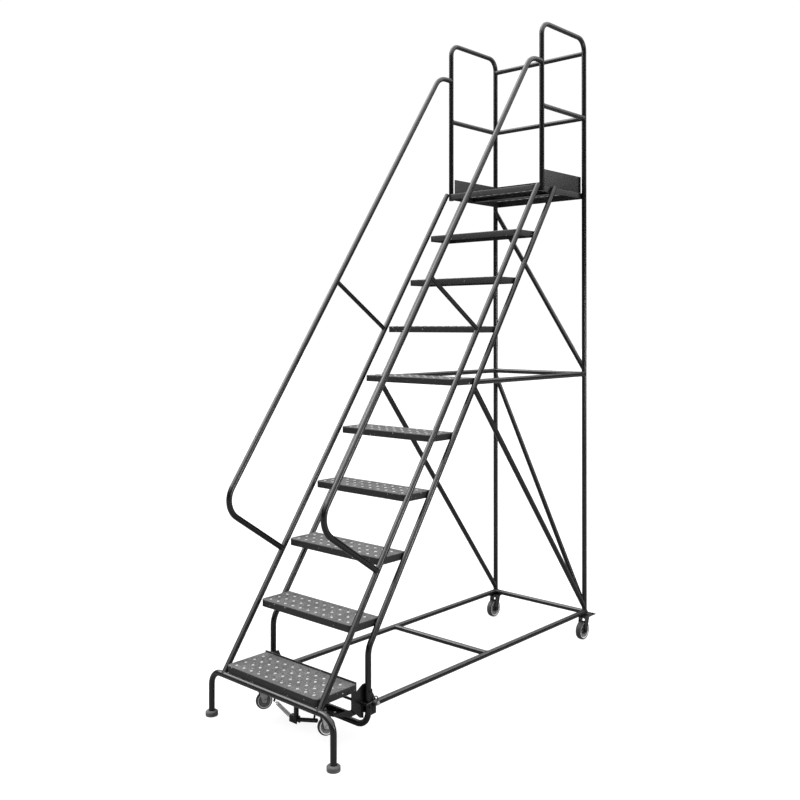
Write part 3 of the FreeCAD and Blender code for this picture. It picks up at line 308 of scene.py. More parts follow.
def dress(tree, shader, colour, roughness, height, strength, distance):
    """Links a colour, a roughness and a height as bump to a shader."""
    bump = add_node(tree, "ShaderNodeBump", Strength=strength, Distance=distance, Height=height)
    for label, output in (("Base Color", colour), ("Roughness", roughness),
                          ("Normal", bump.outputs["Normal"])):
        tree.links.new(output, shader.inputs[label])


def powder_coat(name, paint, dust_and_light_share, gloss, metal=RUBBED_STEEL, highlight_layer=None):
    """Powder coat in one colour; a layer on the mesh, where given, paints highlights there in the
    metal colour.
    """
    material, tree, shader = new_material(name)
    place = add_node(tree, "ShaderNodeTexCoord").outputs["Object"]
    skin = add_node(tree, "ShaderNodeGroup", {"node_tree": paint_skin}, Place=place)
    worn = add_node(tree, "ShaderNodeGroup", {"node_tree": wear_and_light_effect}, Place=place, Paint=paint,
                    Metal=metal, Dust_Share=dust_and_light_share, Gloss=gloss)
    if highlight_layer:
        layer = add_node(tree, "ShaderNodeAttribute", {"attribute_name": highlight_layer})
        tree.links.new(layer.outputs["Fac"], worn.inputs["Rub"])
    lighter = tuple(channel * 1.35 for channel in paint[:3]) + (1.0,)
    tone = add_node(tree, "ShaderNodeMix", {"data_type": "RGBA"},
                    i0=skin.outputs["Mottle"], i6=paint, i7=lighter)
    tree.links.new(tone.outputs[2], worn.inputs["Paint"])
    dress(tree, shader, worn.outputs["Colour"], worn.outputs["Roughness"],
          skin.outputs["Height"], 0.16, 0.0004)
    return material


def coat_nodes(names, material):
    """Gives CAD nodes a finish."""
    for name in names:
        for place in frame["nodes"][name].material_slots:
            place.material = material


charcoal_coat = powder_coat("charcoal_powder_coat", CHARCOAL, 0.15, 0.20)
SIDES = {"left": -1, "right": 1}
PAINTED_PAIRS = ["front_stringer", "rear_stringer", "guard_rail", "rear_post", "guard_mid_rail",
                 "handrail", "handrail_support", "base_side_tube", "side_bracket", "toe_board",
                 ]
painted = [f"{name}_{side}" for name in PAINTED_PAIRS for side in SIDES]
painted += ["front_leg_tube", "lower_leg_loop", "toe_board_rear", "guard_mid_rail_rear",
            "guard_top_rail_rear", "base_cross_tubes", "mid_side_bars", "mid_rear_bar",
            "side_diagonals", "rear_diagonals", "rear_caster_forks", "caster_yoke",
            "center_post", "lock_bar", "release_rod"]
coat_nodes(painted, charcoal_coat)

# Weld beads: a rippled fillet of weld, painted over, where each tube ends on another. A bead runs
# round the curve in which the branch tube's skin meets the main tube's skin.
RUN, RISE = 0.174, 0.254
STRINGER_GAP = 0.164
RAIL_OFFSET = 0.433
RAIL_FOOT, SUPPORT_FOOT, RAIL_TOP = 0.960, 1.762, 0.664
SUPPORT_RADIUS = 0.011
BRACE_SETBACK = 0.026
BEAD_RADIUS = 0.0021
BEAD_POINTS, BEAD_SIDES, RIPPLES, RIPPLE_SHARE = 60, 8, 20, 0.16
post_low, post_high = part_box("rear_post_right")
tube_radius = (post_high.x - post_low.x) / 2
half_frame = (post_high.x + post_low.x) / 2
post_y = (post_high.y + post_low.y) / 2
leg_low, leg_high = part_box("front_leg_tube")
front_y, front_z = (leg_low.y + leg_high.y) / 2, leg_high.z - tube_radius
guard_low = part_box("guard_rail_right")[0]
guard_y = guard_low.y + tube_radius
deck_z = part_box("platform_deck")[1].z


def middle_z(name):
    """The height of a level tube's centre line."""
    low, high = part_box(name)
    return (low.z + high.z) / 2


base_z, bar_z = middle_z("base_side_tube_right"), middle_z("mid_rear_bar")
mid_rail_z, rear_rail_z = middle_z("guard_mid_rail_rear"), middle_z("guard_top_rail_rear")
slope = RUN / RISE
slope_length = math.hypot(slope, 1.0)


def front_line(z):
    """Y of the front stringers' centre line at a height."""
    return front_y + slope * (z - front_z)


def rear_line(z):
    """Y of the rear stringers' centre line at a height."""
    return front_line(z) + STRINGER_GAP


def rail_line(z):
    """Y of the handrails' centre line at a height."""
    return front_line(z) - RAIL_OFFSET * slope_length


def weld_bead(foot, branch, main, radius=tube_radius, main_radius=tube_radius):
    """The bead round a branch tube: at each angle, the distance along the branch at which its
    skin is one main radius from the main tube's axis; the bead's own round section swells and
    shrinks in even ripples along that curve."""
    branch = np.array(branch, float) / np.linalg.norm(branch)
    main = np.array(main, float) / np.linalg.norm(main)
    side = np.cross(branch, main)
    side /= np.linalg.norm(side)
    other = np.cross(branch, side)
    angle = np.linspace(0, 2 * math.pi, BEAD_POINTS, endpoint=False)
    outward = np.cos(angle)[:, None] * side + np.sin(angle)[:, None] * other
    branch_off = branch - branch.dot(main) * main
    skin_off = radius * (outward - outward.dot(main)[:, None] * main)
    square, both = branch_off.dot(branch_off), skin_off.dot(branch_off)
    left = both ** 2 - square * ((skin_off ** 2).sum(1) - main_radius ** 2)
    reach = (np.sqrt(np.maximum(left, 0)) - both) / square
    line = np.array(foot) + reach[:, None] * branch + radius * outward
    tangent = np.roll(line, -1, 0) - np.roll(line, 1, 0)
    tangent /= np.linalg.norm(tangent, axis=1)[:, None]
    across_bead = np.cross(tangent, outward)
    turn = np.linspace(0, 2 * math.pi, BEAD_SIDES, endpoint=False)
    size = BEAD_RADIUS * (1 + RIPPLE_SHARE * np.sin(RIPPLES * angle))
    ring = (np.cos(turn)[None, :, None] * outward[:, None, :]
            + np.sin(turn)[None, :, None] * across_bead[:, None, :])
    return grid_surface(line[:, None, :] + size[:, None, None] * ring, True, True)


ACROSS, BACKWARDS, UP = (1, 0, 0), (0, 1, 0), (0, 0, 1)
UPHILL = (0, slope, 1)
brace_top, brace_foot = bar_z - BRACE_SETBACK, base_z + BRACE_SETBACK
cross_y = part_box("base_cross_tubes")[0].y + tube_radius
beads = []
for side in SIDES.values():
    x = half_frame * side
    inward = (-side, 0, 0)
    brace = np.array([0, post_y - rear_line(brace_top), brace_foot - brace_top])
    rail_end = (x, rail_line(RAIL_FOOT) + RAIL_OFFSET / slope_length,
                RAIL_FOOT - RAIL_OFFSET * slope / slope_length)
    rail_fall = (0, -1 / slope_length, slope / slope_length)
    support_top = (x, front_line(SUPPORT_FOOT) - RAIL_OFFSET / slope_length,
                   SUPPORT_FOOT + RAIL_OFFSET * slope / slope_length)
    beads += [
        weld_bead((x, front_y, front_z), UPHILL, ACROSS),
        weld_bead(rail_end, rail_fall, UPHILL),
        weld_bead((x, guard_y, deck_z + RAIL_TOP), (0, -1, 0), UP),
        weld_bead((x, front_line(SUPPORT_FOOT), SUPPORT_FOOT), rail_fall, UPHILL, SUPPORT_RADIUS),
        weld_bead(support_top, np.negative(rail_fall), UPHILL, SUPPORT_RADIUS),
        weld_bead((x, guard_y, mid_rail_z), BACKWARDS, UP),
        weld_bead((x, post_y, mid_rail_z), (0, -1, 0), UP),
        weld_bead((x, post_y, mid_rail_z), inward, UP),
        weld_bead((x, post_y, rear_rail_z), inward, UP),
        weld_bead((x, post_y, bar_z), inward, UP),
        weld_bead((x, post_y, bar_z), (0, -1, 0), UP),
        weld_bead((x, rear_line(bar_z), bar_z), BACKWARDS, UPHILL),
        weld_bead((x, rear_line(brace_top), brace_top), brace, UPHILL),
        weld_bead((x, post_y, brace_foot), -brace, UP),
        weld_bead((x, post_y, base_z), inward, BACKWARDS),
        weld_bead((x, post_y, base_z), UP, BACKWARDS),
        weld_bead((x, cross_y, base_z), inward, BACKWARDS),
    ]
apron_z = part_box("platform_deck")[0].z
for left_z, right_z in ((apron_z - BRACE_SETBACK, bar_z + BRACE_SETBACK), (brace_top, brace_foot)):
    fall = np.array([2 * half_frame, 0, right_z - left_z])
    beads.append(weld_bead((-half_frame, post_y, left_z), fall, UP))
    beads.append(weld_bead((half_frame, post_y, right_z), -fall, UP))
weld_beads = make_piece("weld_beads", beads, charcoal_coat, 80.0)
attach(weld_beads, "frame")

# Steps and platform: sheet steel pressed into pans with raised drain holes in staggered rows, bent
# down to an apron all round, welded between the stringers and coated in a greyer, rougher paint.
# A heavy pale dust on the tops also paints the light falling on them, and the crowns of the raised
# holes are painted near-white as highlights.
STEP_BLACK = (0.0085, 0.0085, 0.0092, 1.0)
# Near-white painted highlight for the crowns of the raised holes; on the steps also the colour of
# the rubbed flecks.
HOLE_HIGHLIGHT_AND_RUB = (0.85, 0.85, 0.84, 1.0)
SHEET = 0.0025
BEND = 0.004
NOSE_CORNER = 0.022
HOLE_PITCH, ROW_PITCH = 0.0508, 0.0254
HOLE_COLUMNS = 11
PAN_EDGE = 0.008
HOLE_SIDES = 12
RAISED_HOLE = np.array([(0.0074, 0.0), (0.0052, 0.0022), (0.0034, 0.0020), (0.0034, -SHEET)])
SUNK_HOLE = np.array([(0.0070, 0.0), (0.0056, -0.0012), (0.0034, -0.0018), (0.0034, -SHEET)])
CORNER_STEPS = 7
BEND_STEPS = 4
LIP_HEIGHT = 0.008
STRIP_EDGE, STRIP_TUCK = 0.0008, 0.3
RIB_HALF, RIB_DROP = 0.02, 0.008
# Heavy dust share: the tops go pale as dust and painted light; the mesh layer gives the hole
# crowns a painted highlight.
step_coat = powder_coat("scuffed_step_coat", STEP_BLACK, 1.7, 0.40, HOLE_HIGHLIGHT_AND_RUB, "rub")


def pressed_pan(low, high):
    """One pan as a closed skin. The flat top is a brick pattern of cells, each with twelve points
    round its edge and rings of twelve round its hole, which rise to a crown and go down through
    the sheet; the margin joins the cells to an outline with round nose corners; the outline is
    carried outwards and down through the bend, the apron and back up the inside."""
    rows = int((high.y - low.y - 2 * PAN_EDGE) / ROW_PITCH)
    quarter = HOLE_PITCH / 4
    lines = 4 * HOLE_COLUMNS + 1
    grid_x = (np.arange(lines) - 2 * HOLE_COLUMNS) * quarter
    first_y = (low.y + high.y) / 2 - rows * ROW_PITCH / 2
    row_y = first_y + np.arange(rows + 1) * ROW_PITCH
    lattice = np.stack(np.broadcast_arrays(grid_x[None, :], row_y[:, None]), -1).reshape(-1, 2)
    mid_y = row_y[:-1] + ROW_PITCH / 2
    between = np.stack(np.broadcast_arrays(grid_x[None, ::2], mid_y[:, None]), -1).reshape(-1, 2)
    halves = lines // 2 + 1

    def on_line(row, column):
        return row * lines + column

    def on_middle(row, column):
        return len(lattice) + row * halves + column // 2

    row, centre = np.meshgrid(np.arange(rows), np.arange(2, lines - 2, 2), indexing="ij")
    whole = (centre // 2 + row) % 2 == 1
    row, centre = row[whole], centre[whole]
    edge = np.stack([on_middle(row, centre + 2)]
                    + [on_line(row + 1, centre + step) for step in (2, 1, 0, -1, -2)]
                    + [on_middle(row, centre - 2)]
                    + [on_line(row, centre + step) for step in (-2, -1, 0, 1, 2)], -1)
    middle = np.stack([grid_x[centre], mid_y[row]], -1)
    _, spoke = spokes(np.array([1.0, 0]), np.array([0, 1.0]), HOLE_SIDES)
    odd = np.arange(1, rows, 2)
    fillers = []
    for start, step in ((0, 1), (lines - 1, -1)):
        loop = [on_middle(odd, start + 2 * step), on_line(odd + 1, start + 2 * step),
                on_line(odd + 1, start + step), on_line(odd + 1, start + 0 * odd),
                on_middle(odd, start + 0 * odd), on_line(odd, start + 0 * odd),
                on_line(odd, start + step), on_line(odd, start + 2 * step)]
        fillers += np.stack(loop[::step], -1).tolist()

    inner_loop = np.concatenate([
        on_line(0, np.arange(lines)),
        np.stack([on_middle(np.arange(rows), lines - 1),
                  on_line(np.arange(rows) + 1, lines - 1)], -1).ravel(),
        on_line(rows, np.arange(lines - 2, -1, -1)),
        np.stack([on_middle(np.arange(rows)[::-1], 0), on_line(np.arange(rows)[::-1], 0)],
                 -1).ravel()[:-1]])
    side_x, nose_y, back_y = high.x - BEND, low.y + BEND, high.y - BEND
    round_size = NOSE_CORNER - BEND
    straight = grid_x / grid_x[-1] * (side_x - round_size)
    bend = np.linspace(0, math.pi / 2, CORNER_STEPS)
    climb = np.linspace(nose_y + round_size, back_y, 2 * rows + 1)
    runs = [
        (straight, nose_y, (0, -1), np.arange(lines)),
        (side_x - round_size + round_size * np.sin(bend[1:]),
         nose_y + round_size - round_size * np.cos(bend[1:]),
         (np.sin(bend[1:]), -np.cos(bend[1:])), np.full(CORNER_STEPS - 1, lines - 1)),
        (side_x, climb[1:-1], (1, 0), lines + np.arange(2 * rows - 1)),
        (side_x, back_y, (1, 1), np.array([lines + 2 * rows - 1])),
        (side_x * grid_x[-2:0:-1] / grid_x[-1], back_y, (0, 1),
         lines + 2 * rows + np.arange(lines - 2)),
        (-side_x, back_y, (-1, 1), np.array([2 * lines + 2 * rows - 2])),
        (-side_x, climb[-2:0:-1], (-1, 0), 2 * lines + 2 * rows - 1 + np.arange(2 * rows - 1)),
        (-side_x + round_size - round_size * np.sin(bend[:0:-1]),
         nose_y + round_size - round_size * np.cos(bend[:0:-1]),
         (-np.sin(bend[:0:-1]), -np.cos(bend[:0:-1])), np.zeros(CORNER_STEPS - 1, int)),
    ]
    outline = np.concatenate([np.stack(np.broadcast_arrays(a, b + 0 * m), -1)
                              for a, b, _, m in runs])
    normal = np.concatenate([np.stack(np.broadcast_arrays(n[0], n[1] + 0 * m), -1)
                             for _, _, n, m in runs])
    match = inner_loop[np.concatenate([m for *_, m in runs])]

    flat = np.concatenate([lattice, between])
    raised = row % 2 == 0
    rims = np.where(raised[:, None, None], RAISED_HOLE[None], SUNK_HOLE[None])
    hole = (middle[:, None, None, :] + rims[:, :, :1, None] * spoke[None, None]).reshape(-1, 2)
    hole_z = np.repeat(rims[:, :, 1].ravel(), HOLE_SIDES)
    arc = np.linspace(0, math.pi / 2, BEND_STEPS + 1)
    inside = BEND - SHEET
    apron = low.z - high.z
    profile = np.concatenate([
        np.stack([BEND * np.sin(arc), BEND * (np.cos(arc) - 1)], -1), [(BEND, apron)],
        [(inside, apron)],
        np.stack([inside * np.sin(arc), inside * np.cos(arc) - BEND], -1)[::-1]])
    skirt = outline[None] + profile[:, :1, None] * normal[None]
    skirt_z = np.broadcast_to(profile[:, 1:], skirt.shape[:2])
    sizes = np.cumsum([0, len(flat), len(flat), len(hole)])
    points = np.concatenate([
        np.column_stack([flat, np.zeros(len(flat))]),
        np.column_stack([flat, np.full(len(flat), -SHEET)]),
        np.column_stack([hole, hole_z]),
        np.column_stack([skirt.reshape(-1, 2), skirt_z.ravel()])]) + [0, 0, high.z]

    ring = (sizes[2] + np.arange(len(hole))).reshape(len(middle), len(RAISED_HOLE), HOLE_SIDES)
    levels = [edge] + [ring[:, level] for level in range(len(RAISED_HOLE))] + [edge + sizes[1]]
    faces = []
    for outer, inner in zip(levels, levels[1:]):
        faces += np.stack([outer, np.roll(outer, -1, 1), np.roll(inner, -1, 1), inner],
                          -1).reshape(-1, 4).tolist()
    faces += fillers + [[corner + int(sizes[1]) for corner in face[::-1]] for face in fillers]
    count = len(outline)
    top_ring = sizes[3] + np.arange(count)
    under_ring = top_ring + (len(profile) - 1) * count
    for border, joined in ((top_ring, match), (under_ring, match + sizes[1])):
        quads = np.stack([border, np.roll(border, -1), np.roll(joined, -1), joined], -1).tolist()
        faces += [[corner for spot, corner in enumerate(quad) if corner not in quad[:spot]]
                  for quad in quads]
    faces += grid_faces(len(profile), count, False, True, int(sizes[3]))
    # Painted highlight: the crown rings of the raised holes are marked for the near-white colour.
    highlight_share = np.zeros(len(points))
    highlight_share[ring[raised, 1:4].ravel()] = 1.0
    return points, faces, highlight_share


def rounded_strip(low, high, edge, along=0):
    """A bar with rounded edges: a rounded rectangle carried straight along one axis, with a
    small step in at each end."""
    low, high = np.array(low, float), np.array(high, float)
    one, two = [axis for axis in range(3) if axis != along]
    angle = np.arange(16) * math.pi / 8 + math.pi / 16
    corner = np.stack([np.sign(np.cos(angle)), np.sign(np.sin(angle))], -1)
    half = np.array([high[one] - low[one], high[two] - low[two]]) / 2
    centre = np.array([high[one] + low[one], high[two] + low[two]]) / 2
    rim = np.stack([np.cos(angle), np.sin(angle)], -1)
    section = corner * (half - edge) + edge * rim
    tucked = section - corner * edge * STRIP_TUCK
    stations = [(low[along], 0 * section), (low[along], tucked), (low[along] + edge, section),
                (high[along] - edge, section), (high[along], tucked), (high[along], 0 * section)]
    rings = np.zeros((len(stations), len(angle), 3))
    for number, (station, line) in enumerate(stations):
        rings[number, :, one], rings[number, :, two] = (centre + line).T
        rings[number, :, along] = station
    return grid_surface(rings, False, True)


def store_highlight(piece, marks):
    """Stores painted highlights on a piece: a point of the mesh that lies on a marked point, to a
    hundredth of a millimetre, is fully highlit, and any other isn't highlit at all."""
    points = np.zeros(len(piece.data.vertices) * 3)
    piece.data.vertices.foreach_get("co", points)

    def keys(places):
        return [tuple(row) for row in np.round(places * 1e5).astype(int).tolist()]

    marked = set(keys(marks))
    layer = piece.data.attributes.new("rub", "FLOAT", "POINT")
    layer.data.foreach_set("value", [float(key in marked)
                                     for key in keys(points.reshape(-1, 3))])


for name in [f"tread_{number}" for number in range(1, 10)] + ["platform_deck"]:
    low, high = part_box(name)
    high = high.copy()
    if name == "tread_1":
        high.z -= LIP_HEIGHT
    points, faces, highlight_share = pressed_pan(low, high)
    surfaces = [(points, faces)]
    if name == "tread_1":
        surfaces.append(rounded_strip((low.x, high.y - SHEET, high.z - SHEET),
                                      (high.x, high.y, high.z + LIP_HEIGHT), STRIP_EDGE))
    if name == "platform_deck":
        rib_y = (low.y + high.y) / 2
        rib_low, rib_inner = low.z + RIB_DROP, (low.x + SHEET, high.x - SHEET)
        for start_y, end_y, top in (
                (rib_y - RIB_HALF, rib_y - RIB_HALF + SHEET, high.z - SHEET),
                (rib_y + RIB_HALF - SHEET, rib_y + RIB_HALF, high.z - SHEET),
                (rib_y - RIB_HALF, rib_y + RIB_HALF, rib_low + SHEET)):
            surfaces.append(rounded_strip((rib_inner[0], start_y, rib_low),
                                          (rib_inner[1], end_y, top), STRIP_EDGE))
    pan = make_piece(f"pressed_{name}", surfaces, step_coat)
    # Paints highlights on the crowns of the raised holes.
    store_highlight(pan, points[highlight_share > 0.5])
    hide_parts(name)
    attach(pan, "frame")

# Step welds: short stitches of weld along the stringers, two at each end of a step, on the line
# where the step's side apron rests against the tube.
STITCH_LENGTH, STITCH_RADIUS = 0.028, 0.0026
STITCH_POINTS = 15
stitches = []
for name in [f"tread_{number}" for number in range(1, 10)]:
    low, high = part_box(name)
    for side in SIDES.values():
        for line in (front_line, rear_line):
            z = low.z + 0.016
            if not low.y < line(z) < high.y - 0.004:
                continue
            share = np.linspace(-1, 1, STITCH_POINTS)
            height = z + share * STITCH_LENGTH / 2 / slope_length
            centre = np.stack([np.full(STITCH_POINTS, side * (half_frame - tube_radius)),
                               line(height), height], -1)
            size = STITCH_RADIUS * np.sqrt(np.clip(1 - share ** 2, 0, 1)) * (
                1 + 0.15 * np.cos(18 * share))
            level = np.array([0, 1 / slope_length, -slope / slope_length])
            _, ring = spokes(np.array(ACROSS), level, BEAD_SIDES)
            stitches.append(grid_surface(
                centre[:, None] + size[:, None, None] * ring[None], False, True))
step_welds = make_piece("step_weld_stitches", stitches, charcoal_coat, 80.0)
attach(step_welds, "frame")

# Rubber feet: moulded grey cups pressed on the two front legs, with a chamfered shoulder, two
# grip grooves round the side and ribs underneath, matt and slightly chalky.
FOOT_GREY = (0.085, 0.085, 0.083, 1.0)
FOOT_SEGMENTS = 56


def turned(profile, centre, axis, segments=FOOT_SEGMENTS):
    """A profile of (radius, height) pairs spun round an axis through a centre."""
    axis, side, other = axis_frame(axis)
    _, spoke = spokes(side, other, segments)
    profile = np.array(profile, float)
    return grid_surface(np.array(centre) + profile[:, :1, None] * spoke[None]
                        + profile[:, 1:, None] * axis, False, True)


def moulded(name, colour, roughness, grain=260.0, depth=0.0005):
    """Moulded rubber or plastic: a fine pebbled skin, blotches of tone, and settled dust on faces
    turned up, which also paints the light on the tops.
    """
    material, tree, shader = new_material(name)
    place = add_node(tree, "ShaderNodeTexCoord").outputs["Object"]
    skin = add_node(tree, "ShaderNodeGroup", {"node_tree": paint_skin}, Place=place,
                    Peel_Size=grain, Mottle_Size=34.0)
    lighter = tuple(channel * 1.5 for channel in colour[:3]) + (1.0,)
    tone = add_node(tree, "ShaderNodeMix", {"data_type": "RGBA"},
                    i0=skin.outputs["Mottle"], i6=colour, i7=lighter)
    worn = add_node(tree, "ShaderNodeGroup", {"node_tree": wear_and_light_effect}, Place=place,
                    Paint=tone.outputs[2], Metal=lighter, Dust_Share=0.5, Gloss=roughness)
    dress(tree, shader, worn.outputs["Colour"], worn.outputs["Roughness"],
          skin.outputs["Height"], 0.35, depth)
    return material


foot_rubber = moulded("foot_rubber_grey", FOOT_GREY, 0.62)
for word in SIDES:
    low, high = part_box(f"rubber_foot_{word}")
    radius, height = (high.x - low.x) / 2, high.z - low.z
    centre = ((low.x + high.x) / 2, (low.y + high.y) / 2, low.z)
    leg = tube_radius
    cup = [(0, 0.0016), (0.006, 0.0016), (0.007, 0), (0.012, 0), (0.013, 0.0016), (0.017, 0.0016),
           (0.018, 0), (radius - 0.0030, 0), (radius - 0.0008, 0.0010), (radius, 0.0030),
           (radius, 0.0075), (radius - 0.0011, 0.0082), (radius - 0.0011, 0.0096),
           (radius, 0.0103), (radius, 0.0135), (radius - 0.0011, 0.0142),
           (radius - 0.0011, 0.0156), (radius, 0.0163), (radius, height - 0.0055),
           (radius - 0.0008, height - 0.0042), (radius - 0.0050, height - 0.0006),
           (radius - 0.0062, height), (leg + 0.0014, height), (leg, height - 0.0012),
           (leg, 0.008), (0, 0.008)]
    foot = make_piece(f"moulded_foot_{word}", [turned(cup, centre, UP)], foot_rubber)
    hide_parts(f"rubber_foot_{word}")
    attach(foot, "frame")

# Wheels: dark rubber tyres pressed on grey moulded cores with a dished, ribbed web, a pale lip
# inside the tyre and a dark hub. They turn on their own axles.
TYRE_GREY = (0.030, 0.030, 0.030, 1.0)
CORE_GREY = (0.20, 0.20, 0.195, 1.0)
RING_PALE = (0.92, 0.92, 0.90, 1.0)
HUB_DARK = (0.012, 0.012, 0.012, 1.0)
WHEEL_SEGMENTS = 72
WHEEL_SIZES = {"rear": (0.0508, 0.016, 0.00605), "front": (0.038, 0.011, 0.00505)}
RIBS = 6
tyre_rubber = moulded("tyre_rubber_grey", TYRE_GREY, 0.55)
core_plastic = moulded("wheel_core_pale", CORE_GREY, 0.42, 340.0, 0.0003)
ring_plastic = moulded("wheel_ring_pale", RING_PALE, 0.30, 340.0, 0.0003)
hub_plastic = moulded("wheel_hub_dark", HUB_DARK, 0.38, 340.0, 0.0003)
joints = {joint["name"]: joint for joint in frame["joints"]}


def mirrored(profile):
    """A closed section from its right half, mirrored in the wheel's middle plane."""
    profile = list(profile)
    return profile + [(r, -h) for r, h in reversed(profile)] + profile[:1]


def web_ribs(centre, axis, inner, outer, web, face, count=RIBS):
    """Tapered ribs on both faces of the web: a small loft from the hub to the rim for each."""
    axis, side, other = axis_frame(axis)
    ribs = []
    for number in range(count):
        angle = 2 * math.pi * number / count
        out = math.cos(angle) * side + math.sin(angle) * other
        flat = np.cross(axis, out)
        for face_side in (-1, 1):
            reach = np.linspace(inner, outer, 6)
            top = np.linspace(face, (web + face) / 2, 6)
            half = np.linspace(0.0022, 0.0014, 6)
            section = [(-1.3, web * 0.8), (-1.0, 0.92), (-0.6, 1.0), (0.6, 1.0), (1.0, 0.92),
                       (1.3, web * 0.8)]
            rings = np.zeros((6, 6, 3))
            for spot, (share, lift) in enumerate(section):
                height = np.full(6, web * 0.8) if abs(share) > 1.2 else top * lift
                rings[:, spot] = (np.array(centre) + reach[:, None] * out
                                  + (half * share)[:, None] * flat
                                  + (face_side * height)[:, None] * axis)
            ribs.append(grid_surface(rings, False, True))
    return ribs


for name in [f"{end}_wheel_{side}" for end in ("rear", "front") for side in SIDES]:
    joint = joints[name.replace("_wheel_", "_wheel_spin_")]
    centre, axis = joint["pos_m"], joint["axis"]
    outer, half, bore = WHEEL_SIZES[name.split("_")[0]]
    rim, seat, hub = outer * 0.88, outer * 0.84, outer * 0.38
    web = half * 0.34
    face = half * 0.86
    tyre = [(seat, 0), (seat, face * 0.98), (rim - 0.0012, half * 0.97), (rim, half * 0.93),
            (outer - 0.0055, half * 0.99), (outer - 0.0030, half * 0.93),
            (outer - 0.0010, half * 0.74), (outer - 0.0002, half * 0.45), (outer, half * 0.15)]
    core = [(hub * 0.9, 0), (hub * 0.9, web), (hub + 0.001, web), (seat - 0.0090, web * 0.9),
            (seat - 0.0060, face * 0.72), (seat - 0.0040, face * 0.90),
            (seat - 0.0034, face * 0.90), (seat - 0.0034, 0)]
    lip = [(seat - 0.0042, 0), (seat - 0.0042, face * 0.86), (seat - 0.0030, face * 1.02),
           (seat - 0.0008, face * 1.06), (seat + 0.0006, face), (seat + 0.0006, 0)]
    boss = [(bore, 0), (bore, half * 0.98), (hub * 0.55, half * 0.98), (hub * 0.60, half * 0.90),
            (hub * 0.82, half * 0.90), (hub * 0.94, half * 0.84), (hub, half * 0.7), (hub, 0)]
    pieces = {
        "tyre": ([turned(mirrored(tyre), centre, axis, WHEEL_SEGMENTS)], tyre_rubber),
        "core": ([turned(mirrored(core), centre, axis, WHEEL_SEGMENTS)]
                 + web_ribs(centre, axis, hub * 0.92, seat - 0.004, web, face * 0.9),
                 core_plastic),
        "ring": ([turned(mirrored(lip), centre, axis, WHEEL_SEGMENTS)], ring_plastic),
        "hub": ([turned(mirrored(boss), centre, axis, WHEEL_SEGMENTS)], hub_plastic)}
    made = {}
    for part, (surfaces, finish) in pieces.items():
        made[part] = make_piece(f"{name}_{part}", surfaces, finish, 40.0)
        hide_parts(name)
        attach(made[part], name)

# Bolts and axles: hexagon bolts with chamfered heads, washers and nuts, zinc-plated or blackened.
# They clamp the brackets to legs and base, hold the yoke and the casters, and are the axles.
ZINC = (0.62, 0.63, 0.64, 1.0)
BLACKENED = (0.02, 0.02, 0.021, 1.0)
BRIGHT = (0.90, 0.90, 0.90, 1.0)
PLATE_METAL = 0.55
HEX_SEGMENTS = 48
HALF_PITCH, WASHER = 0.00075, 0.0012


def plated(name, colour, roughness, metal=PLATE_METAL):
    """Plate or black oxide on steel: crystalline patches of tone, fine grain and dull spots."""
    material, tree, shader = new_material(name)
    place = add_node(tree, "ShaderNodeTexCoord").outputs["Object"]
    cells = add_node(tree, "ShaderNodeTexVoronoi", Vector=place, Scale=420.0)
    skin = add_node(tree, "ShaderNodeGroup", {"node_tree": paint_skin}, Place=place,
                    Peel_Size=900.0, Mottle_Size=60.0)
    dull = tuple(channel * 0.62 for channel in colour[:3]) + (1.0,)
    patch = add_node(tree, "ShaderNodeMath", {"operation": "MULTIPLY"},
                     i0=cells.outputs["Distance"], i1=skin.outputs["Mottle"])
    tone = add_node(tree, "ShaderNodeMix", {"data_type": "RGBA"},
                    i0=patch.outputs["Value"], i6=colour, i7=dull)
    rough = add_node(tree, "ShaderNodeMapRange", i0=skin.outputs["Mottle"], i1=0.3, i2=0.7,
                     i3=roughness - 0.07, i4=roughness + 0.10)
    dress(tree, shader, tone.outputs[2], rough.outputs["Result"], skin.outputs["Height"],
          0.2, 0.0002)
    shader.inputs["Metallic"].default_value = metal
    return material


zinc_plate = plated("zinc_plated_steel", ZINC, 0.34)
black_oxide = plated("blackened_steel", BLACKENED, 0.38)
bright_wire = plated("bright_spring_wire", BRIGHT, 0.40, 0.2)
coat_nodes([f"front_caster_fork_{side}" for side in SIDES] + ["front_caster_plates"], zinc_plate)


def hexagon(centre, axis, width, height, spin=0.0, bore=0.0):
    """A hexagon head or nut: at each angle the radius is the distance to the flats, or to the
    round chamfer where that is nearer. Height goes along the axis from the centre."""
    axis, side, other = axis_frame(axis)
    angle, spoke = spokes(side, other, HEX_SEGMENTS)
    flats = width / np.cos((angle + spin) % (math.pi / 3) - math.pi / 6)
    levels = [(bore, 0.0), (width * 1.02, 0.0), (width * 1.16, height * 0.07),
              (width * 1.16, height * 0.82), (width * 0.98, height), (bore, height)]
    rings = np.stack([np.minimum(flats, limit)[:, None] * spoke + lift * axis
                      for limit, lift in levels])
    return grid_surface(np.array(centre) + rings, False, True)


def shank(start, end, radius, threads):
    """A bolt's shank, with a fine thread over its last part: rings whose radius goes up and
    down with the pitch."""
    start, end = np.array(start, float), np.array(end, float)
    length = np.linalg.norm(end - start)
    plain = length * (1 - threads)
    steps = max(int((length - plain) / HALF_PITCH), 2)
    height = np.concatenate([[0, 0], [plain], np.linspace(plain, length, steps + 1)[1:], [length]])
    size = np.full(len(height), radius)
    size[0] = size[-1] = 0
    size[3:-1:2] = radius * 0.9
    return turned(np.stack([size, height], -1), start, end - start, 24)


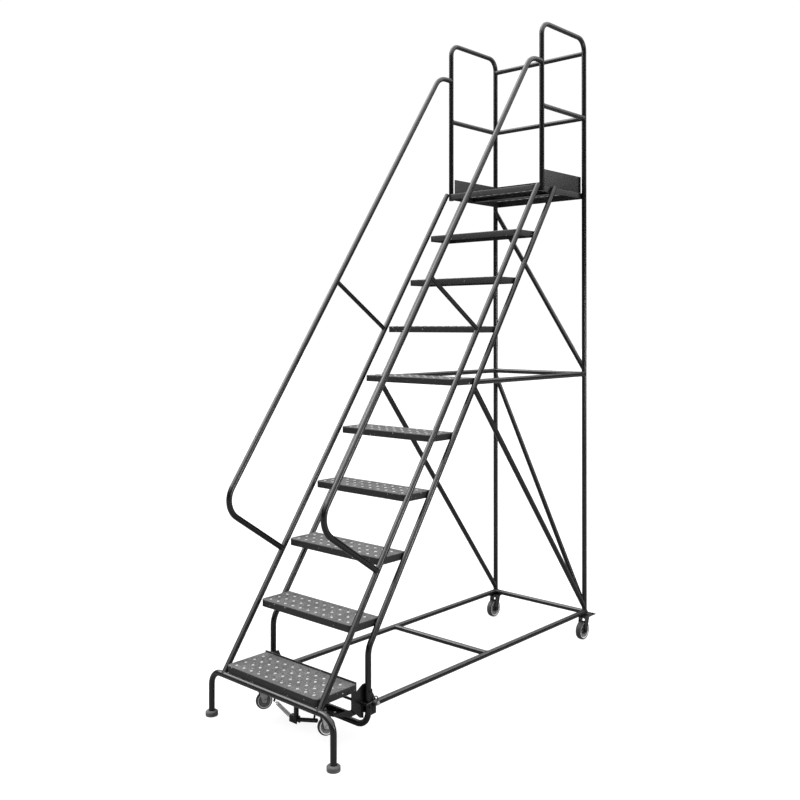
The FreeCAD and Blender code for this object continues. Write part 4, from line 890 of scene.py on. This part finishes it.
def clamp_bolt(start, end, radius, width, head, threads=0.35):
    """A hexagon bolt through a grip from start to end: head, washers, shank and nut."""
    start, end = np.array(start, float), np.array(end, float)
    axis = (end - start) / np.linalg.norm(end - start)
    washer = [(radius, 0), (width * 1.28, 0), (width * 1.30, 0.0004), (width * 1.28, WASHER),
              (radius, WASHER)]
    return [hexagon(start, -axis, width, head), turned(washer, start - axis * 0.0002, axis, 36),
            shank(start, end + axis * head * 0.98, radius, threads),
            hexagon(end, axis, width, head * 0.9, 0.4, radius * 0.98),
            turned(washer, end - axis * 0.0010, axis, 36)]


BOLT_RADIUS, PIVOT_RADIUS, HEAD = 0.005, 0.006, 0.006
BOLT_HEAD, PIVOT_HEAD = 0.0074, 0.0088
SPLICE_HEIGHTS, BASE_BOLT_SETBACK, ARM_SHY = (0.218, 0.150), 0.017, 0.001
BRACKET, ARM, SIDE_PLAY = 0.005, 0.005, 0.002
LEG_HEIGHT = 0.393
leg_y = rear_line(LEG_HEIGHT)
base_bolt_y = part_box("base_side_tube_right")[0].y + BASE_BOLT_SETBACK
pivot = joints["yoke_tilt"]["pos_m"]
inner_x = half_frame - tube_radius
base_bolts, leg_bolts = [], []
for side in SIDES.values():
    inner, outer = (inner_x - BRACKET) * side, (half_frame + tube_radius) * side
    for y, z, bolts in [(leg_y, height, leg_bolts) for height in SPLICE_HEIGHTS] + [
            (base_bolt_y, base_z, base_bolts)]:
        bolts += clamp_bolt((inner, y, z), (outer, y, z), BOLT_RADIUS, BOLT_HEAD, HEAD)
    arm_inner = (inner_x - BRACKET - SIDE_PLAY - ARM - ARM_SHY) * side
    leg_bolts += clamp_bolt((arm_inner, *pivot[1:]), (inner_x * side, *pivot[1:]), PIVOT_RADIUS,
                            PIVOT_HEAD, HEAD)
for name, surfaces, finish in (("base_tube_bolts", base_bolts, zinc_plate),
                               ("bracket_bolts", leg_bolts, black_oxide)):
    bolts = make_piece(name, surfaces, finish, 30.0)
    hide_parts("frame_bolts")
    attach(bolts, "frame")

PLATE_THICK, PLATE_HALF = 0.004, 0.0575
REAR_HALF, FRONT_HALF = WHEEL_SIZES["rear"][1], WHEEL_SIZES["front"][1]
PLATE_BOLTS = [(x, y) for x in (-0.030, 0.030) for y in (-0.044, 0.044)]
rear_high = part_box("rear_caster_forks")[1]
plate_y = rear_high.y - PLATE_HALF
rear_axle_bolts, plate_bolts = [], []
for word, side in SIDES.items():
    hub_at = np.array(joints[f"rear_wheel_spin_{word}"]["pos_m"])
    grip = np.array([REAR_HALF + SIDE_PLAY + PLATE_THICK, 0, 0])
    rear_axle_bolts += clamp_bolt(hub_at - grip, hub_at + grip, PIVOT_RADIUS, PIVOT_HEAD, HEAD)
    for along_x, along_y in PLATE_BOLTS:
        spot = np.array([half_frame * side + along_x, plate_y + along_y, rear_high.z])
        plate_bolts += clamp_bolt(spot - [0, 0, PLATE_THICK], spot, 0.004, 0.0058, 0.0045)
rear_axles = make_piece("rear_axle_bolts", rear_axle_bolts, black_oxide, 30.0)
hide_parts("rear_caster_axles")
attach(rear_axles, "frame")
rear_plate_bolts = make_piece("rear_plate_bolts", plate_bolts, black_oxide, 30.0)
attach(rear_plate_bolts, "frame")

# Front casters: each swivels on a rolled ball race under the yoke's deck, held by a riveted
# kingpin, with four bolts through its plate and a hexagon axle bolt through the fork.
PLATE_REACH = 0.030
RACE_RADIUS, RACE_HEIGHT, FORK_THICK = 0.025, 0.007, 0.003
yoke_bolts = []
for word in SIDES:
    swivel = joints[f"swivel_turn_{word}"]
    axis, deck = np.array(swivel["axis"]), np.array(swivel["pos_m"])
    backwards = np.cross(axis, ACROSS)
    for along_x in (-PLATE_REACH, PLATE_REACH):
        for along_y in (-PLATE_REACH, PLATE_REACH):
            spot = deck + along_x * np.array(ACROSS) + along_y * backwards
            yoke_bolts += clamp_bolt(spot - axis * PLATE_THICK, spot + axis * PLATE_THICK, 0.0035,
                                     0.0052, 0.0040)
    race = [(RACE_RADIUS - 0.004, 0), (RACE_RADIUS + 0.0008, 0), (RACE_RADIUS + 0.0024, 0.0012),
            (RACE_RADIUS + 0.0024, 0.0034), (RACE_RADIUS + 0.0012, 0.0046),
            (RACE_RADIUS - 0.004, 0.0046), (RACE_RADIUS - 0.004, 0)]
    seat_at = deck - axis * (PLATE_THICK + 0.0002)
    ball_race = make_piece(f"ball_race_{word}", [turned(race, seat_at, -axis, 60)], zinc_plate)
    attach(ball_race, "yoke")
    crown_low = deck - axis * (PLATE_THICK + RACE_HEIGHT + PLATE_THICK)
    rivet = [(0, 0.0038), (0.0045, 0.0034), (0.0078, 0.0018), (0.0085, 0), (0.0085, -0.001),
             (0, -0.001)]
    kingpin = make_piece(f"kingpin_rivet_{word}", [turned(rivet, crown_low, -axis, 40)],
                         zinc_plate)
    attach(kingpin, f"swivel_{word}")
    spin = joints[f"front_wheel_spin_{word}"]
    hub_at, across_axis = np.array(spin["pos_m"]), np.array(spin["axis"])
    grip = across_axis * (FRONT_HALF + SIDE_PLAY + FORK_THICK)
    axle = make_piece(f"front_axle_bolt_{word}",
                      clamp_bolt(hub_at - grip, hub_at + grip, BOLT_RADIUS, BOLT_HEAD, HEAD),
                      zinc_plate, 30.0)
    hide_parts(f"front_caster_axle_{word}")
    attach(axle, f"swivel_{word}")
deck_bolts = make_piece("caster_deck_bolts", yoke_bolts, zinc_plate, 30.0)
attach(deck_bolts, "yoke")

# Yoke spring: a close-wound extension spring of bright plated wire, hooked on a pin of the centre
# post and on the yoke's lug. It stretches as the yoke comes down.
spring_low, spring_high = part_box("yoke_spring")
SPRING_WIRE, SPRING_TURNS, WIRE_SIDES = 0.0012, 22, 8
COIL_RADIUS = 0.0075
LEAD, LEAD_SHARE, COIL_START, COIL_SHARE = 0.06, 0.04, 0.10, 0.80
HOOK_RADIUS, HOOK_BACK, HOOK_REACH = 0.0055, 0.004, 0.0035
spring_y = (spring_low.y + spring_high.y) / 2
post_hook = np.array([-0.034, spring_y, 0.0462])
yoke_hook = np.array([spring_low.x + 0.0012, spring_y, spring_high.z - 0.0052])
axis = yoke_hook - post_hook
length = np.linalg.norm(axis)
axis /= length
side = np.array([0, 1.0, 0])
other = np.cross(axis, side)


def wire(line):
    """Round wire along a line of points: a ring square to the line at each point."""
    tangent = np.gradient(line, axis=0)
    tangent /= np.linalg.norm(tangent, axis=1)[:, None]
    level = np.cross(tangent, axis)
    level /= np.maximum(np.linalg.norm(level, axis=1), 1e-9)[:, None]
    rise = np.cross(tangent, level)
    turn = np.linspace(0, 2 * math.pi, WIRE_SIDES, endpoint=False)
    size = np.full(len(line), SPRING_WIRE)
    size[0] = size[-1] = SPRING_WIRE * 0.3
    ring = (np.cos(turn)[None, :, None] * level[:, None] + np.sin(turn)[None, :, None]
            * rise[:, None])
    return grid_surface(line[:, None] + size[:, None, None] * ring, False, True)


share = np.linspace(0, 1, SPRING_TURNS * 20 + 61)
wound = np.clip((share - LEAD) / (1 - 2 * LEAD), 0, 1)
angle = 2 * math.pi * SPRING_TURNS * wound
swell = COIL_RADIUS * np.clip(np.minimum(share, 1 - share) / LEAD, 0, 1) ** 0.7
lead_in, lead_out = np.clip(share / LEAD, 0, 1), np.clip((share - 1 + LEAD) / LEAD, 0, 1)
distance = length * (COIL_START + COIL_SHARE * wound + LEAD_SHARE * (lead_in - 1 + lead_out))
coil = (post_hook + distance[:, None] * axis + (swell * np.cos(angle))[:, None] * side
        + (swell * np.sin(angle))[:, None] * other)
hook_turn = np.linspace(0.35, 2 * math.pi, 25)
hooks = []
for end, way in ((post_hook, -1), (yoke_hook, 1)):
    eye = end - way * axis * HOOK_BACK
    hooks.append(wire(eye + way * HOOK_RADIUS * (-np.cos(hook_turn)[:, None] * axis)
                      + HOOK_RADIUS * np.sin(hook_turn)[:, None] * other
                      + way * axis * HOOK_REACH))
spring = make_piece("extension_spring", [wire(coil)] + hooks, bright_wire, 60.0)
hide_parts("yoke_spring")
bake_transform(spring)

# End caps: small domed plugs of black plastic in the open ends of the stringers, the base side
# tubes and the guard rails' front legs.
CAP_BLACK = (0.022, 0.022, 0.023, 1.0)
CAP_HEIGHT = 0.0025
cap_plastic = moulded("cap_plastic_black", CAP_BLACK, 0.45)
dome = [(0, CAP_HEIGHT), (tube_radius * 0.55, CAP_HEIGHT * 0.94),
        (tube_radius * 0.85, CAP_HEIGHT * 0.66), (tube_radius * 0.98, CAP_HEIGHT * 0.2),
        (tube_radius * 0.98, -0.0006), (0, -0.0006)]
stringer_top = deck_z - SHEET
caps = []
for side in SIDES.values():
    x = half_frame * side
    caps += [turned(dome, (x, front_line(stringer_top), stringer_top), UPHILL, 36),
             turned(dome, (x, rear_line(stringer_top), stringer_top), UPHILL, 36),
             turned(dome, (x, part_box("base_side_tube_right")[0].y, base_z), (0, -1, 0), 36),
             turned(dome, (x, post_y + tube_radius, base_z), BACKWARDS, 36),
             turned(dome, (x, guard_y, apron_z), (0, 0, -1), 36)]
end_caps = make_piece("domed_end_caps", caps, cap_plastic, 50.0)
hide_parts("tube_caps")
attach(end_caps, "frame")
